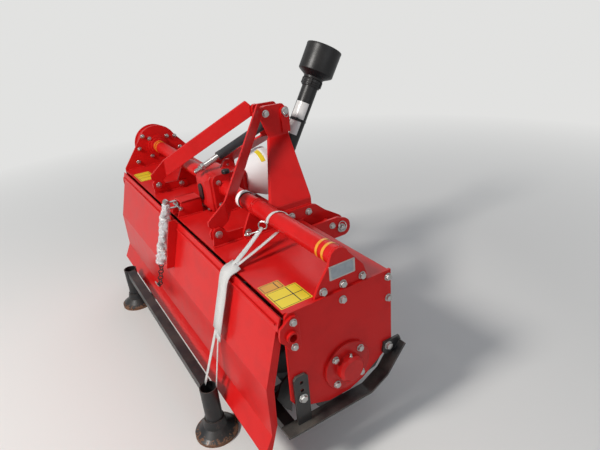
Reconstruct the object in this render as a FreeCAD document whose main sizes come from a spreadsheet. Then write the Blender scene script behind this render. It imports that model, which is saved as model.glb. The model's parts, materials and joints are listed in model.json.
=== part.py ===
import FreeCAD, Part
import os
import math
import Sketcher
from FreeCAD import Vector as V

# A compact rotary tiller with its three-point hitch, standing on its black transport stand.
# X runs to the machine's right, Y forward to the tractor, Z up from the floor, in mm.
# Distances below are counted from the rotor axis and from the middle of the hitch, and
# every piece is then moved so that the origin lies under the middle of the whole.

doc = FreeCAD.newDocument("RotaryTiller")
sheet = doc.addObject("Spreadsheet::Sheet", "Sizes")

# name, value, what it is
sizeTable = [
    ("RotorZ", 326, "rotor axis over the floor"),
    ("PlateRight", 800, "outer face of the right side plate"),
    ("PlateLeft", 793, "outer face of the left side plate"),
    ("PlateThick", 8, "side plates"),
    ("PlateFront", 172, "front edge of the side plates"),
    ("DeckZ", 580, "top of the hood deck"),
    ("DeckBack", -181, "rear edge of the hood deck"),
    ("SheetThick", 5, "hood and tailgate sheet"),
    ("SheetBend", 12, "bend of the sheets, outside"),
    ("SkirtZ", 480, "lower edge of the hood's front skirt"),
    ("TubeY", 2, "axis of the cross tubes"),
    ("TubeZ", 674, "axis of the cross tubes"),
    ("TubeRadius", 28.5, "cross tubes"),
    ("TubeWall", 5, "cross tubes"),
    ("Seat", 0.3, "gap between a round piece and its seat"),
    ("EarRadius", 31, "top of the right ear plate round the cross tube"),
    ("EarFoot", 536, "lower edge of the right ear plate"),
    ("ArchRadius", 103, "top of the left plate round the cross tube"),
    ("CaseDepth", 60, "side drive case"),
    ("CaseTop", 92, "side drive case round the cross tube"),
    ("CaseFoot", 86, "side drive case round the rotor axis"),
    ("CoverDepth", 8, "cover of the drive case"),
    ("GearHalf", 62, "half the gearbox across"),
    ("GearBack", -70, "rear face of the gearbox"),
    ("GearFront", 104, "front face of the gearbox"),
    ("GearTop", 728, "top of the gearbox"),
    ("GearFlange", 52, "side flanges of the gearbox, half their width"),
    ("GearFlangeThick", 18, "side flanges of the gearbox"),
    ("ShaftRadius", 17.5, "input shaft over the splines"),
    ("ShaftRoot", 14.5, "input shaft between the splines"),
    ("ShaftEnd", 196, "front end of the input shaft"),
    ("NeckRadius", 46, "front bearing neck of the gearbox"),
    ("NeckEnd", 122, "front of the bearing neck"),
    ("GuardRadius", 98, "input guard at its mouth"),
    ("GuardFoot", 64, "input guard at the gearbox"),
    ("GuardEnd", 214, "mouth of the input guard"),
    ("GuardWall", 3, "input guard"),
    ("RotorTube", 38, "rotor tube"),
    ("RotorGap", 41, "rotor tube, short of the left plate"),
    ("StubRadius", 20, "stub shafts of the rotor"),
    ("StubGap", 0.05, "running clearance round the stubs"),
    ("StubHole", 34, "hole of the side plates round the stubs"),
    ("StubReach", 26, "stub shafts past the side plates"),
    ("HubRadius", 76, "tine flanges"),
    ("HubThick", 8, "tine flanges"),
    ("TineReach", 214, "tips of the tines"),
    ("TineThick", 7, "tine blades"),
    ("TineFoot", 82, "sideways foot of a tine"),
    ("TineRoot", 40, "inner end of a tine leg"),
    ("CapRadius", 78, "bearing flange"),
    ("CapThick", 10, "bearing flange"),
    ("BossRadius", 42, "bearing housing"),
    ("BossReach", 36, "bearing housing, out from the plate"),
    ("HingeY", -172, "tailgate hinge axis"),
    ("HingeZ", 514, "tailgate hinge axis"),
    ("HingeRadius", 16.8, "tailgate hinge tube"),
    ("HingeBore", 11.5, "bore of the hinge tube"),
    ("HingeGap", 0.08, "running clearance round the hinge tube"),
    ("HingeNotch", 23, "notch of the side plates round the hinge tube"),
    ("HingeEnd", 10, "hinge tube past its ears"),
    ("EarThick", 8, "hinge ears"),
    ("GateRight", 785, "right edge of the tailgate"),
    ("GateLeft", 778, "left edge of the tailgate"),
    ("SkidInset", 16, "inner edge of a runner, inside the plate's outer face"),
    ("SkidOutset", 31, "outer edge of a runner, outside it"),
    ("SkidThick", 6, "runners"),
    ("StrapThick", 8, "straps of the runners"),
    ("HitchIn", 330, "inner hitch plates"),
    ("HitchOut", 376, "outer hitch plates"),
    ("HitchThick", 10, "hitch plates"),
    ("HitchDrop", 34, "hitch plates below their pins"),
    ("HitchPinY", 302, "lower hitch pins"),
    ("HitchPinZ", 520, "lower hitch pins"),
    ("HitchPinRadius", 11, "lower hitch pins"),
    ("MastHalf", 27, "half the gap between the mast ears"),
    ("MastThick", 10, "mast plates"),
    ("MastTop", 938, "top of the mast"),
    ("MastFold", 812, "fold of the mast plates"),
    ("MastFoot", 652, "foot of the slanted mast legs"),
    ("TopPinY", 304, "top link pin"),
    ("TopPinZ", 906, "top link pin"),
    ("TopPinRadius", 9.5, "top link pin"),
    ("StayY", 218, "upper bolts of the stays"),
    ("StayZ", 911, "upper bolts of the stays"),
    ("StayWidth", 54, "flat bars of the stays"),
    ("StayThick", 8, "flat bars of the stays"),
    ("BracketX", 322, "hood brackets of the stays"),
    ("BracketY", -149, "lower bolts of the stays"),
    ("BracketZ", 621, "lower bolts of the stays"),
    ("BracketThick", 8, "hood brackets"),
    ("JointY", 285, "driveline joint"),
    ("JointZ", 672, "driveline joint"),
    ("Lean", 30.5, "driveline, forward from upright, degrees"),
    ("LineRadius", 33, "driveline shield"),
    ("LineFoot", 40, "foot of the driveline shield, from the joint"),
    ("BellLength", 142, "driveline bell"),
    ("BellMouth", 514, "mouth of the driveline bell, from the joint"),
    ("BellRadius", 68, "driveline bell"),
    ("BellLip", 6, "lip of the driveline bell, out from its wall"),
    ("LineTube", 19.7, "steel tube inside the driveline shield"),
    ("YokeBore", 17.5, "bore of the front yoke, for a 1 3/8 inch shaft"),
    ("LinkY", 276, "cross bolt of the tailgate link"),
    ("LinkZ", 877, "cross bolt of the tailgate link"),
    ("LinkPin", 8, "cross bolt of the tailgate link"),
    ("LinkLength", 381, "tailgate link"),
    ("LinkFall", 21, "tailgate link, below level towards the rear, degrees"),
    ("LinkRod", 9, "rod of the tailgate link"),
    ("LinkSleeve", 19, "sleeve of the tailgate link"),
    ("PostX", 490, "stand posts"),
    ("PostY", -330, "stand posts"),
    ("PostRadius", 28.5, "stand posts"),
    ("PostWall", 3, "stand posts"),
    ("PostTop", 193, "stand posts"),
    ("PostFrontY", 244, "front posts of the stand"),
    ("CarrierY", -213, "rear face of the stand's carrier"),
    ("RailZ", 8, "underside of the floor rails"),
    ("CupRadius", 72, "foot cups of the stand posts, at the floor"),
    ("CupTop", 66, "foot cups of the stand posts"),
    ("CupWall", 4, "foot cups of the stand posts"),
    ("BarSide", 35, "square bars of the stand"),
    ("SkidZ", 198, "underside of the runners on the stand"),
]
for row, (name, value, note) in enumerate(sizeTable, 1):
    sheet.set("A%d" % row, name)
    sheet.set("B%d" % row, str(value))
    sheet.set("C%d" % row, note)
    sheet.setAlias("B%d" % row, name)
doc.recompute()


class Size:
    """A number together with the wording that ties it to the sheet."""

    def __init__(self, value, words):
        self.value = float(value)
        self.words = words

    def __float__(self):
        return self.value

    def __add__(self, other):
        return Size(self.value + float(other), "(%s + %s)" % (self.words, worded(other)))

    def __radd__(self, other):
        return Size(float(other) + self.value, "(%s + %s)" % (worded(other), self.words))

    def __sub__(self, other):
        return Size(self.value - float(other), "(%s - %s)" % (self.words, worded(other)))

    def __rsub__(self, other):
        return Size(float(other) - self.value, "(%s - %s)" % (worded(other), self.words))

    def __mul__(self, other):
        return Size(self.value * float(other), "(%s * %s)" % (self.words, worded(other)))

    __rmul__ = __mul__

    def __truediv__(self, other):
        return Size(self.value / float(other), "(%s / %s)" % (self.words, worded(other)))

    def __neg__(self):
        return 0 - self


def worded(value):
    return value.words if isinstance(value, Size) else "(%r)" % float(value)


class Sheet:
    """The sheet's cells by name."""


at = Sheet()
for name, value, note in sizeTable:
    setattr(at, name, Size(sheet.get(name), "Sizes." + name))

# turns of a sketch: its own x and y become Y and Z, X and Z, Z and X, or stay X and Y
sideOn = FreeCAD.Rotation(V(1, 1, 1), 120)
frontOn = FreeCAD.Rotation(V(1, 0, 0), 90)
upOn = FreeCAD.Rotation(V(1, 1, 1), 240)
fromAbove = FreeCAD.Rotation()
alongX = FreeCAD.Rotation(V(0, 1, 0), 90)
alongY = FreeCAD.Rotation(V(1, 0, 0), -90)
alongZ = FreeCAD.Rotation()

# how far the middle of the hitch and the rotor axis lie from the origin
lean = math.radians(float(at.Lean))
leftmost = at.PlateLeft + at.CaseDepth + at.CoverDepth
rightmost = at.PlateRight + at.BossReach
foremost = at.JointY + at.BellMouth * math.sin(lean) + (at.BellRadius + at.BellLip) * math.cos(lean)
rearmost = at.PostY - at.CupRadius
middleX = (leftmost - rightmost) / 2
rotorY = (foremost + rearmost) * -0.5

nodes = []


def keep(made):
    """Hand a finished piece in as a node of its own."""
    nodes.append(made)
    return made


def tie(thing, **sizes):
    """Set sizes, and bind those that come from the sheet."""
    for name, value in sizes.items():
        setattr(thing, name, float(value))
        if isinstance(value, Size):
            thing.setExpression(name, value.words)
    return thing


def place(thing, x, y, z, turn=alongZ):
    """Put a thing at X from the hitch's middle, at Y from the rotor axis and at Z."""
    spot = (middleX + x, rotorY + y, z)
    thing.Placement = FreeCAD.Placement(V(*[float(c) for c in spot]), turn)
    for axis, value in zip("xyz", spot):
        if isinstance(value, Size):
            thing.setExpression("Placement.Base." + axis, value.words)
    return thing


def box(name, x, y, z):
    """A block between (low, high) pairs."""
    made = place(doc.addObject("Part::Box", name), x[0], y[0], z[0])
    return tie(made, Length=x[1] - x[0], Width=y[1] - y[0], Height=z[1] - z[0])


def rod(name, turn, x, y, z, radius, length):
    """A round bar from a point, along the axis that the turn gives."""
    made = place(doc.addObject("Part::Cylinder", name), x, y, z, turn)
    return tie(made, Radius=radius, Height=length)


def draw(name, points, rounds=(), closed=True):
    """A sketch of straight lines through points, with full circles (a, b, radius) in it."""
    draft = doc.addObject("Sketcher::SketchObject", name)
    spots = [V(float(a), float(b), 0) for a, b in points]
    count = len(spots)
    edges = count if closed else count - 1

    def pin(geometry, end, a, b):
        for kind, value in (("DistanceX", a), ("DistanceY", b)):
            number = draft.addConstraint(Sketcher.Constraint(kind, geometry, end, float(value)))
            if isinstance(value, Size):
                draft.setExpression("Constraints[%d]" % number, value.words)

    for n in range(edges):
        draft.addGeometry(Part.LineSegment(spots[n], spots[(n + 1) % count]))
    for n in range(edges if closed else edges - 1):
        draft.addConstraint(Sketcher.Constraint("Coincident", n, 2, (n + 1) % count, 1))
    for n in range(edges):
        pin(n, 1, *points[n])
    if not closed:
        pin(edges - 1, 2, *points[-1])
    for a, b, radius in rounds:
        ring = draft.addGeometry(Part.Circle(V(float(a), float(b), 0), V(0, 0, 1), float(radius)))
        pin(ring, 3, a, b)
        number = draft.addConstraint(Sketcher.Constraint("Radius", ring, float(radius)))
        if isinstance(radius, Size):
            draft.setExpression("Constraints[%d]" % number, radius.words)
    return draft


def extrude(name, draft, length, toward):
    made = doc.addObject("Part::Extrusion", name)
    made.Base = draft
    made.DirMode = "Custom"
    made.Dir = toward
    made.Solid = True
    made.FaceMakerClass = "Part::FaceMakerBullseye"
    return tie(made, LengthFwd=length)


def panel(name, x, thick, points, holes=()):
    """A plate across X, from x on, with an outline of (y, z) points."""
    draft = place(draw(name + "Outline", points, holes), x, 0, 0, sideOn)
    return extrude(name, draft, thick, V(1, 0, 0))


def sheetAlongX(name, x, points, thick):
    """Sheet bent along X: the (y, z) points of its outer face, its material on their left."""
    path = place(draw(name + "Path", points, closed=False), x[0], 0, 0, sideOn)
    return extrude(name, ribbon(name + "Section", path, thick), x[1] - x[0], V(1, 0, 0))


def ribbon(name, path, thick):
    """The section of a sheet along an open path."""
    made = doc.addObject("Part::Offset2D", name)
    made.Source = path
    made.Mode = "Skin"
    made.Fill = True
    made.Join = "Intersection"
    return tie(made, Value=-thick)


def fuse(name, pieces):
    made = doc.addObject("Part::MultiFuse", name)
    made.Shapes = pieces
    made.Refine = True
    return made


def cut(name, base, tools):
    made = doc.addObject("Part::Cut", name)
    made.Base = base
    made.Tool = tools[0] if len(tools) == 1 else fuse(name + "Tools", tools)
    made.Refine = True
    return made


def common(name, base, tool):
    made = doc.addObject("Part::Common", name)
    made.Base = base
    made.Tool = tool
    return made


def tube(name, turn, x, y, z, radius, wall, length):
    """A pipe, cut through past both ends."""
    outer = rod(name + "Outside", turn, x, y, z, radius, length)
    step = turn.multVec(V(0, 0, 1))
    inner = rod(name + "Bore", turn, x - step.x, y - step.y, z - step.z, radius - wall, length + 2)
    return cut(name, outer, [inner])


def turned(name, turn, x, y, z, profile):
    """A piece turned about the axis that the turn gives, from (along, radius) points."""
    draft = place(draw(name + "Profile", profile), x, y, z, turn)
    made = doc.addObject("Part::Revolution", name)
    made.Source = draft
    made.Axis = turn.multVec(V(1, 0, 0))
    made.Base = draft.Placement.Base
    for axis, value in zip("xyz", (middleX + x, rotorY + y, z)):
        if isinstance(value, Size):
            made.setExpression("Base." + axis, value.words)
    made.Angle = 360
    made.Solid = True
    made.FaceMakerClass = "Part::FaceMakerBullseye"
    return made


def softened(name, base, radius, wanted):
    """A piece with fillets on the edges that a test picks out."""
    doc.recompute()
    chosen = [(n, float(radius), float(radius)) for n, edge in enumerate(base.Shape.Edges, 1)
              if len(base.Shape.ancestorsOfType(edge, Part.Face)) == 2 and wanted(edge)]
    made = doc.addObject("Part::Fillet", name)
    made.Base = base
    made.Edges = chosen
    return made


def runsAlong(edge, direction):
    """Whether a straight edge runs along a direction."""
    if edge.Curve.TypeId != "Part::GeomLine":
        return False
    return abs(edge.tangentAt(edge.FirstParameter).dot(direction)) > 0.999


def near(edge, y, z, reach):
    """Whether an edge lies within reach of a point, looked at along X."""
    spot = edge.CenterOfMass
    return math.hypot(spot.y - float(rotorY + y), spot.z - float(z)) < reach


def longEdge(edge):
    return runsAlong(edge, V(1, 0, 0))


# the two ends of the machine: name, sign, outer face of the side plate
sides = [("right", 1, at.PlateRight), ("left", -1, at.PlateLeft)]


def across(sign, near, far):
    """The (low, high) pair in X between two distances from the middle, on one side."""
    return (near, far) if sign > 0 else (-far, -near)


# rear and lower edge of the side plates, from under their rear corner round to the front
plateEdge = [(-187, 468), (-190, 294), (-179, 276), (-129, 248), (-66, 225), (8, 225), (58, 243),
             (147, 301), (at.PlateFront, 337)]


def sidePlate(name, sign, face, crown):
    """Side plate with its upper edge, a hinge notch and a rotor hole."""
    low, high = across(sign, face - at.PlateThick, face)
    outline = [(at.PlateFront, at.DeckZ)] + crown + plateEdge
    blank = panel(name + "Blank", low, at.PlateThick, outline, [(0, at.RotorZ, at.StubHole)])
    notch = rod(name + "Notch", alongX, low - 1, at.HingeY, at.HingeZ,
                at.HingeNotch, at.PlateThick + 2)
    return keep(cut(name, blank, [notch]))


def archPoints(y, z, radius, start, end, steps):
    """Corners of an arch, circumscribed, between two angles in degrees from +Y."""
    points = []
    for n in range(steps + 1):
        turn = math.radians(start + (end - start) * n / steps)
        points.append((y + radius * math.cos(turn), z + radius * math.sin(turn)))
    return points


sidePlate("side_plate_right", 1, at.PlateRight,
          [(at.DeckBack + 9, at.DeckZ), (at.DeckBack, at.DeckZ - 8), (-186, 556)])
leftCrown = [(179, 616)] + archPoints(at.TubeY, at.TubeZ, at.ArchRadius, 24, 126, 7) \
    + [(at.DeckBack - 2, 592)]
sidePlate("side_plate_left", -1, at.PlateLeft, leftCrown)

# ear plate of the right cross tube: inside the side plate, through a notch of the deck
earIn = at.PlateRight - at.PlateThick * 2
earFront, earRear = 92, -87
earOutline = [(earFront - 6, at.EarFoot), (earFront, 592), (80, 628), (48, 664)] \
    + archPoints(at.TubeY, at.TubeZ, at.EarRadius, 20, 160, 6) \
    + [(-34, 661), (-70, 612), (earRear, 577), (earRear + 7, at.EarFoot)]
keep(panel("side_ear_right", earIn, at.PlateThick, earOutline))

# hood: deck and front skirt bent from one sheet between the side plates
hoodPath = [(at.DeckBack, at.DeckZ), (at.PlateFront, at.DeckZ), (at.PlateFront, at.SkirtZ)]
hoodSheet = sheetAlongX("hoodSheet", (at.PlateThick - at.PlateLeft, at.PlateRight - at.PlateThick),
                        hoodPath, -at.SheetThick)
hoodBent = softened("hoodBent", hoodSheet, at.SheetBend,
                    lambda e: longEdge(e) and near(e, at.PlateFront, at.DeckZ, 2))
keep(cut("hood", hoodBent, [
    box("hoodNotch", (earIn - at.Seat, at.PlateRight), (earRear - at.Seat, earFront + at.Seat),
        (at.DeckZ - at.SheetThick - 1, at.DeckZ + 1))]))

# cross tubes between the gearbox and the side plates
tubeStart = at.GearHalf + at.GearFlangeThick
for name, sign, end in (("right", 1, earIn), ("left", -1, at.PlateLeft - at.PlateThick)):
    low, high = across(sign, tubeStart, end)
    keep(tube("cross_tube_" + name, alongX, low, at.TubeY, at.TubeZ,
              at.TubeRadius, at.TubeWall, high - low))

# stepped collar of the left tube at its plate
collar = fuse("tubeCollarBlank", [
    rod("collarWide", alongX, at.PlateThick - at.PlateLeft, at.TubeY, at.TubeZ, 50, 8),
    rod("collarNarrow", alongX, at.PlateThick - at.PlateLeft, at.TubeY, at.TubeZ, 39, 22)])
keep(cut("tube_collar", collar, [
    rod("collarBore", alongX, at.PlateThick - at.PlateLeft - 1, at.TubeY, at.TubeZ,
        at.TubeRadius + at.Seat, 24)]))


def oblong(name, x, length, top, foot):
    """A long round-ended block across X: radius at the cross tube and at the rotor axis."""
    return fuse(name, [
        rod(name + "Top", alongX, x, at.TubeY, at.TubeZ, top, length),
        rod(name + "Foot", alongX, x, 0, at.RotorZ, foot, length),
        panel(name + "Middle", x, length, [
            (at.TubeY - top, at.TubeZ), (0 - foot, at.RotorZ),
            (0 + foot, at.RotorZ), (at.TubeY + top, at.TubeZ)])])


# drive case on the left plate, and its cover
caseOut = at.PlateLeft + at.CaseDepth
caseBlank = oblong("driveCaseBlank", -caseOut, at.CaseDepth, at.CaseTop, at.CaseFoot)
keep(cut("drive_case", caseBlank, [
    rod("caseStub", alongX, -(at.PlateLeft + at.StubReach), 0, at.RotorZ,
        at.StubRadius + at.StubGap, at.StubReach + 1)]))
keep(oblong("drive_case_cover", -(caseOut + at.CoverDepth), at.CoverDepth,
            at.CaseTop + 6, at.CaseFoot + 6))

# gearbox: cast body narrower at its rear, side flanges, a front bearing neck and a lifting lug
gearOutline = [(at.GearBack, 604), (at.GearBack, 706), (-48, at.GearTop), (52, at.GearTop),
               (at.GearFront, 712), (at.GearFront, 604), (84, at.DeckZ), (-50, at.DeckZ)]
gearPlan = [(-42, at.GearBack), (42, at.GearBack), (at.GearHalf, at.GearBack + 14),
            (at.GearHalf, at.GearFront - 22), (46, at.GearFront), (-46, at.GearFront),
            (-at.GearHalf, at.GearFront - 22), (-at.GearHalf, at.GearBack + 14)]
gearDraft = place(draw("gearPlan", gearPlan), 0, 0, at.DeckZ - 1, fromAbove)
gearBody = common("gearBody", panel("gearSide", -at.GearHalf, at.GearHalf * 2, gearOutline),
                  extrude("gearColumn", gearDraft, 180, V(0, 0, 1)))
gearSoft = softened("gearSoft", gearBody, 6, lambda e: True)
flangeOut, flangeTop = at.GearHalf + at.GearFlangeThick, at.TubeZ + 58
gearFlange = softened(
    "gearFlangeSoft",
    panel("gearFlange", -flangeOut, flangeOut * 2, [
        (at.TubeY + at.GearFlange, at.DeckZ + 2), (at.TubeY + at.GearFlange, flangeTop),
        (at.TubeY - at.GearFlange, flangeTop), (at.TubeY - at.GearFlange, at.DeckZ + 2)]),
    24, longEdge)
lug = panel("gearLug", -8, 16, [(88, 708), (12, 720)] + archPoints(50, 741, 20, 170, 20, 6),
            [(50, 741, 6)])
keep(fuse("gearbox", [
    gearSoft, gearFlange, lug,
    rod("gearNeck", alongY, 0, 60, at.TubeZ, at.NeckRadius, at.NeckEnd - 60)]))

# black breather on top of the gearbox
keep(fuse("gearbox_breather", [
    rod("breatherStem", alongZ, 34, 26, flangeTop, 6, 5),
    rod("breatherCap", alongZ, 34, 26, flangeTop + 4, 13, 7)]))

# rear plug of the gearbox
keep(fuse("gearbox_plug", [
    rod("plugLow", alongY, 0, at.GearBack - 6, 644, 19, 6),
    rod("plugHigh", alongY, 0, at.GearBack - 6, 672, 19, 6),
    box("plugMiddle", (-19, 19), (at.GearBack - 6, at.GearBack), (644, 672))]))

# input shaft with six splines
splinePoints = []
for n in range(6):
    for radius, offset in ((at.ShaftRoot, -17), (at.ShaftRadius, -13), (at.ShaftRadius, 13), (at.ShaftRoot, 17)):
        turn = math.radians(60 * n + offset)
        splinePoints.append((radius * math.cos(turn), at.TubeZ + radius * math.sin(turn)))
shaftOutline = place(draw("inputShaftOutline", splinePoints), 0, at.ShaftEnd, 0, frontOn)
keep(extrude("input_shaft", shaftOutline, at.ShaftEnd - at.NeckEnd, V(0, -1, 0)))

# white guard round the input shaft
guard = turned("input_guard", sideOn, 0, at.GearFront, at.TubeZ, [
    (0, at.NeckRadius + at.Seat), (0, at.GuardFoot), (at.GuardEnd - at.GearFront - 24, at.GuardRadius),
    (at.GuardEnd - at.GearFront, at.GuardRadius),
    (at.GuardEnd - at.GearFront, at.GuardRadius - at.GuardWall),
    (at.GuardEnd - at.GearFront - 24, at.GuardRadius - at.GuardWall),
    (at.GuardWall, at.GuardFoot - at.GuardWall), (at.GuardWall, at.NeckRadius + at.Seat)])
keep(guard)

# hinge ears outside the side plates
hingeEar = [(-146, 560), (-153, 570), (-166, 572), (-178, 565), (-203, 546), (-206, 527),
            (-205, 508), (-192, 494), (-180, 470), (-167, 461), (-154, 463), (-146, 475)]
for name, sign, face in sides:
    low, high = across(sign, face, face + at.EarThick)
    keep(panel("hinge_ear_" + name, low, at.EarThick, hingeEar,
               [(at.HingeY, at.HingeZ, at.HingeRadius + at.HingeGap)]))

# runners under the side plates, their front tabs and their rear straps
skidPath = [(-227, at.SkidZ + 2), (-205, at.SkidZ), (67, at.SkidZ), (132, at.SkidZ + 34),
            (181, at.SkidZ + 93), (204, at.SkidZ + 120)]
strapOutline = [(-181, at.SkidZ + 2), (-181, 366), (-172, 375), (-145, 375), (-136, 366),
                (-136, at.SkidZ + 2)]
tabOutline = [(204, at.SkidZ + 122), (198, 338), (138, 338), (132, 304), (146, 290), (184, 300)]
for name, sign, face in sides:
    inner, outer = across(sign, face - at.SkidInset, face + at.SkidOutset)
    runner = sheetAlongX("runner" + name.title(), (inner, outer), skidPath, at.SkidThick)
    bent = softened("runnerBent" + name.title(), runner, 18,
                    lambda e: longEdge(e) and 60 < e.CenterOfMass.y - float(rotorY) < 190)
    low, high = across(sign, face, face + at.StrapThick)
    keep(fuse("skid_" + name, [
        bent,
        panel("skidStrap" + name, low, at.StrapThick, strapOutline,
              [(-158, 350, 6), (-158, 322, 6)]),
        panel("skidTab" + name, low, at.StrapThick, tabOutline)]))

# bearing flange and housing on the right plate
cap = turned("bearing_housing", frontOn, at.PlateRight, 0, at.RotorZ, [
    (0, at.StubRadius + at.StubGap), (0, at.CapRadius), (at.CapThick - 2, at.CapRadius),
    (at.CapThick, at.CapRadius - 2), (at.CapThick, at.BossRadius), (at.BossReach - 7, at.BossRadius),
    (at.BossReach, at.BossRadius - 8), (at.BossReach, 0), (at.StubReach + 2, 0),
    (at.StubReach + 2, at.StubRadius + at.StubGap)])
keep(cap)

# lower hitch plates and pins: the inner plates run back under the cross tubes and carry them
hitchFoot = at.HitchPinZ - at.HitchDrop
noseY = at.HitchPinY + 40
nose = [(noseY, hitchFoot), (206, hitchFoot), (at.PlateFront, 496)]
innerPlate = [(-66, at.DeckZ), (-64, 606), (-34, at.TubeZ - 8), (38, at.TubeZ - 8), (64, 629), (90, 626),
              (214, 626), (231, 620), (268, 588), (noseY, at.HitchPinZ + 21)] \
    + nose + [(at.PlateFront, at.DeckZ)]
outerPlate = [(at.PlateFront, 566), (288, 566), (noseY, at.HitchPinZ + 26)] + nose


def hitchPlate(name, x, outline, holes):
    """A hitch plate with its nose rounded about the pin."""
    blank = panel(name + "Blank", x, at.HitchThick, outline)
    rounded = softened(name + "Round", blank, 30,
                       lambda e: longEdge(e) and e.CenterOfMass.y > float(rotorY + noseY) - 2)
    return keep(cut(name, rounded, [
        rod("%sHole%d" % (name, n), alongX, x - 1, y, z, radius + at.Seat, at.HitchThick + 2)
        for n, (y, z, radius) in enumerate(holes)]))


pinHole = (at.HitchPinY, at.HitchPinZ, at.HitchPinRadius)
for name, sign, face in sides:
    low, high = across(sign, at.HitchIn, at.HitchIn + at.HitchThick)
    hitchPlate("hitch_plate_inner_" + name, low, innerPlate,
               [pinHole, (at.TubeY, at.TubeZ, at.TubeRadius)])
    low, high = across(sign, at.HitchOut, at.HitchOut + at.HitchThick)
    hitchPlate("hitch_plate_outer_" + name, low, outerPlate, [pinHole])
    low, high = across(sign, at.HitchIn - 8, at.HitchOut + at.HitchThick + 14)
    keep(rod("hitch_pin_" + name, alongX, low, at.HitchPinY, at.HitchPinZ,
             at.HitchPinRadius, high - low))

# mast: each side one bent plate, upright at the ear and slanted out to its foot
mastSide = [(208, at.MastTop), (300, at.MastTop - 3), (316, at.MastTop - 24), (316, at.MastFold),
            (216, at.MastFoot), (216, at.DeckZ + 8), (53, at.DeckZ + 8), (53, at.MastFoot),
            (228, at.MastFold), (200, at.MastTop - 50), (200, at.MastTop - 10)]
for name, sign, face in sides:
    mastPath = [(sign * (at.MastHalf + at.MastThick), at.MastTop + 5),
                (sign * (at.MastHalf + at.MastThick), at.MastFold),
                (sign * at.HitchIn, at.MastFoot), (sign * at.HitchIn, at.DeckZ)]
    path = place(draw("mastPath" + name, mastPath, closed=False), 0, 330, 0, frontOn)
    flat = extrude("mastFlat" + name, ribbon("mastSection" + name, path, sign * at.MastThick),
                   290, V(0, -1, 0))
    bent = softened("mastBent" + name, flat, at.MastThick, lambda e: runsAlong(e, V(0, 1, 0))
                    and float(at.MastFoot) - 20 < e.CenterOfMass.z < float(at.MastFold) + 20)
    low, high = across(sign, 10, at.HitchIn + 10)
    mask = softened("mastMask" + name, panel("mastBlank" + name, low, high - low, mastSide),
                    9, lambda e: longEdge(e) and e.CenterOfMass.z > float(at.MastFoot) + 10)
    keep(cut("mast_" + name, common("mastShape" + name, bent, mask), [
        rod("mastHole" + name, alongX, low, at.TopPinY, at.TopPinZ,
            at.TopPinRadius + at.Seat, high - low)]))

# straps on the outside of the ears, round the top link pin
strapTop = [(at.TopPinY + 18, at.MastFold + 10)] \
    + archPoints(at.TopPinY, at.TopPinZ, 18, 0, 180, 8) + [(at.TopPinY - 16, at.MastFold + 10)]
for name, sign, face in sides:
    low, high = across(sign, at.MastHalf + at.MastThick, at.MastHalf + at.MastThick + 8)
    keep(panel("mast_strap_" + name, low, high - low, strapTop, [
        (at.TopPinY, at.TopPinZ, at.TopPinRadius + at.Seat)]))

# top link pin through both ears
keep(rod("top_link_pin", alongX, -(at.MastHalf + at.MastThick + 20), at.TopPinY, at.TopPinZ,
         at.TopPinRadius, (at.MastHalf + at.MastThick + 20) * 2))

# tailgate link: its rod hangs back and down from a cross bolt between the ears, in a sleeve
keep(rod("link_bar", alongX, -at.MastHalf, at.LinkY, at.LinkZ, at.LinkPin, at.MastHalf * 2))
fall = math.radians(float(at.LinkFall))


def onLink(name, start, end, radius):
    """A round stretch of the link, between two distances from its cross bolt."""
    made = tie(doc.addObject("Part::Cylinder", name), Radius=radius, Height=end - start)
    return place(made, 0, at.LinkY - start * math.cos(fall), at.LinkZ - start * math.sin(fall),
                 FreeCAD.Rotation(V(1, 0, 0), 90 + float(at.LinkFall)))


linkEye = at.LinkPin + 8
keep(cut("link_rod", fuse("linkWelded", [
    onLink("linkRod", at.LinkPin + 2, at.LinkLength, at.LinkRod),
    rod("linkEye", alongX, -12, at.LinkY, at.LinkZ, linkEye, 24)]), [
        rod("linkBore", alongX, -13, at.LinkY, at.LinkZ, at.LinkPin + at.Seat, 26)]))
keep(cut("link_sleeve", onLink("sleeveOutside", 30, 315, at.LinkSleeve), [
    onLink("sleeveInside", 29, 316, at.LinkRod + at.Seat)]))

# stays: flat bars from the mast ears back to the hood brackets
rise = math.degrees(math.atan2(float(at.StayZ - at.BracketZ), float(at.StayY - at.BracketY)))
for name, sign, face in sides:
    inside = at.MastHalf + at.MastThick
    outside = at.BracketX - at.StayThick
    plan = [(sign * inside, at.StayY + 26), (sign * inside, at.StayY - 24),
            (sign * outside, at.BracketY + 40), (sign * outside, at.BracketY - 26)]
    path = place(draw("stayPath" + name, plan, closed=False), 0, 0, at.BracketZ - 60, fromAbove)
    flat = extrude("stayFlat" + name, ribbon("staySection" + name, path, sign * at.StayThick),
                   420, V(0, 0, 1))
    bends = [float(rotorY + y) for y in (at.StayY - 24, at.BracketY + 40)]
    bent = softened("stayBent" + name, flat, at.StayThick, lambda e: runsAlong(e, V(0, 0, 1))
                    and min(abs(e.CenterOfMass.y - y) for y in bends) < 12)
    length = math.hypot(float(at.StayZ - at.BracketZ), float(at.StayY - at.BracketY))
    low, high = across(sign, inside - 20, at.BracketX + 20)
    mask = fuse("stayMask" + name, [
        place(tie(doc.addObject("Part::Box", "stayBar" + name), Length=high - low,
                  Width=length, Height=at.StayWidth),
              low, at.BracketY, at.BracketZ, FreeCAD.Rotation(V(1, 0, 0), rise)),
        rod("stayEndTop" + name, alongX, low, at.StayY, at.StayZ, at.StayWidth / 2, high - low),
        rod("stayEndLow" + name, alongX, low, at.BracketY, at.BracketZ, at.StayWidth / 2, high - low)])
    keep(common("stay_" + name, bent, mask))

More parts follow.
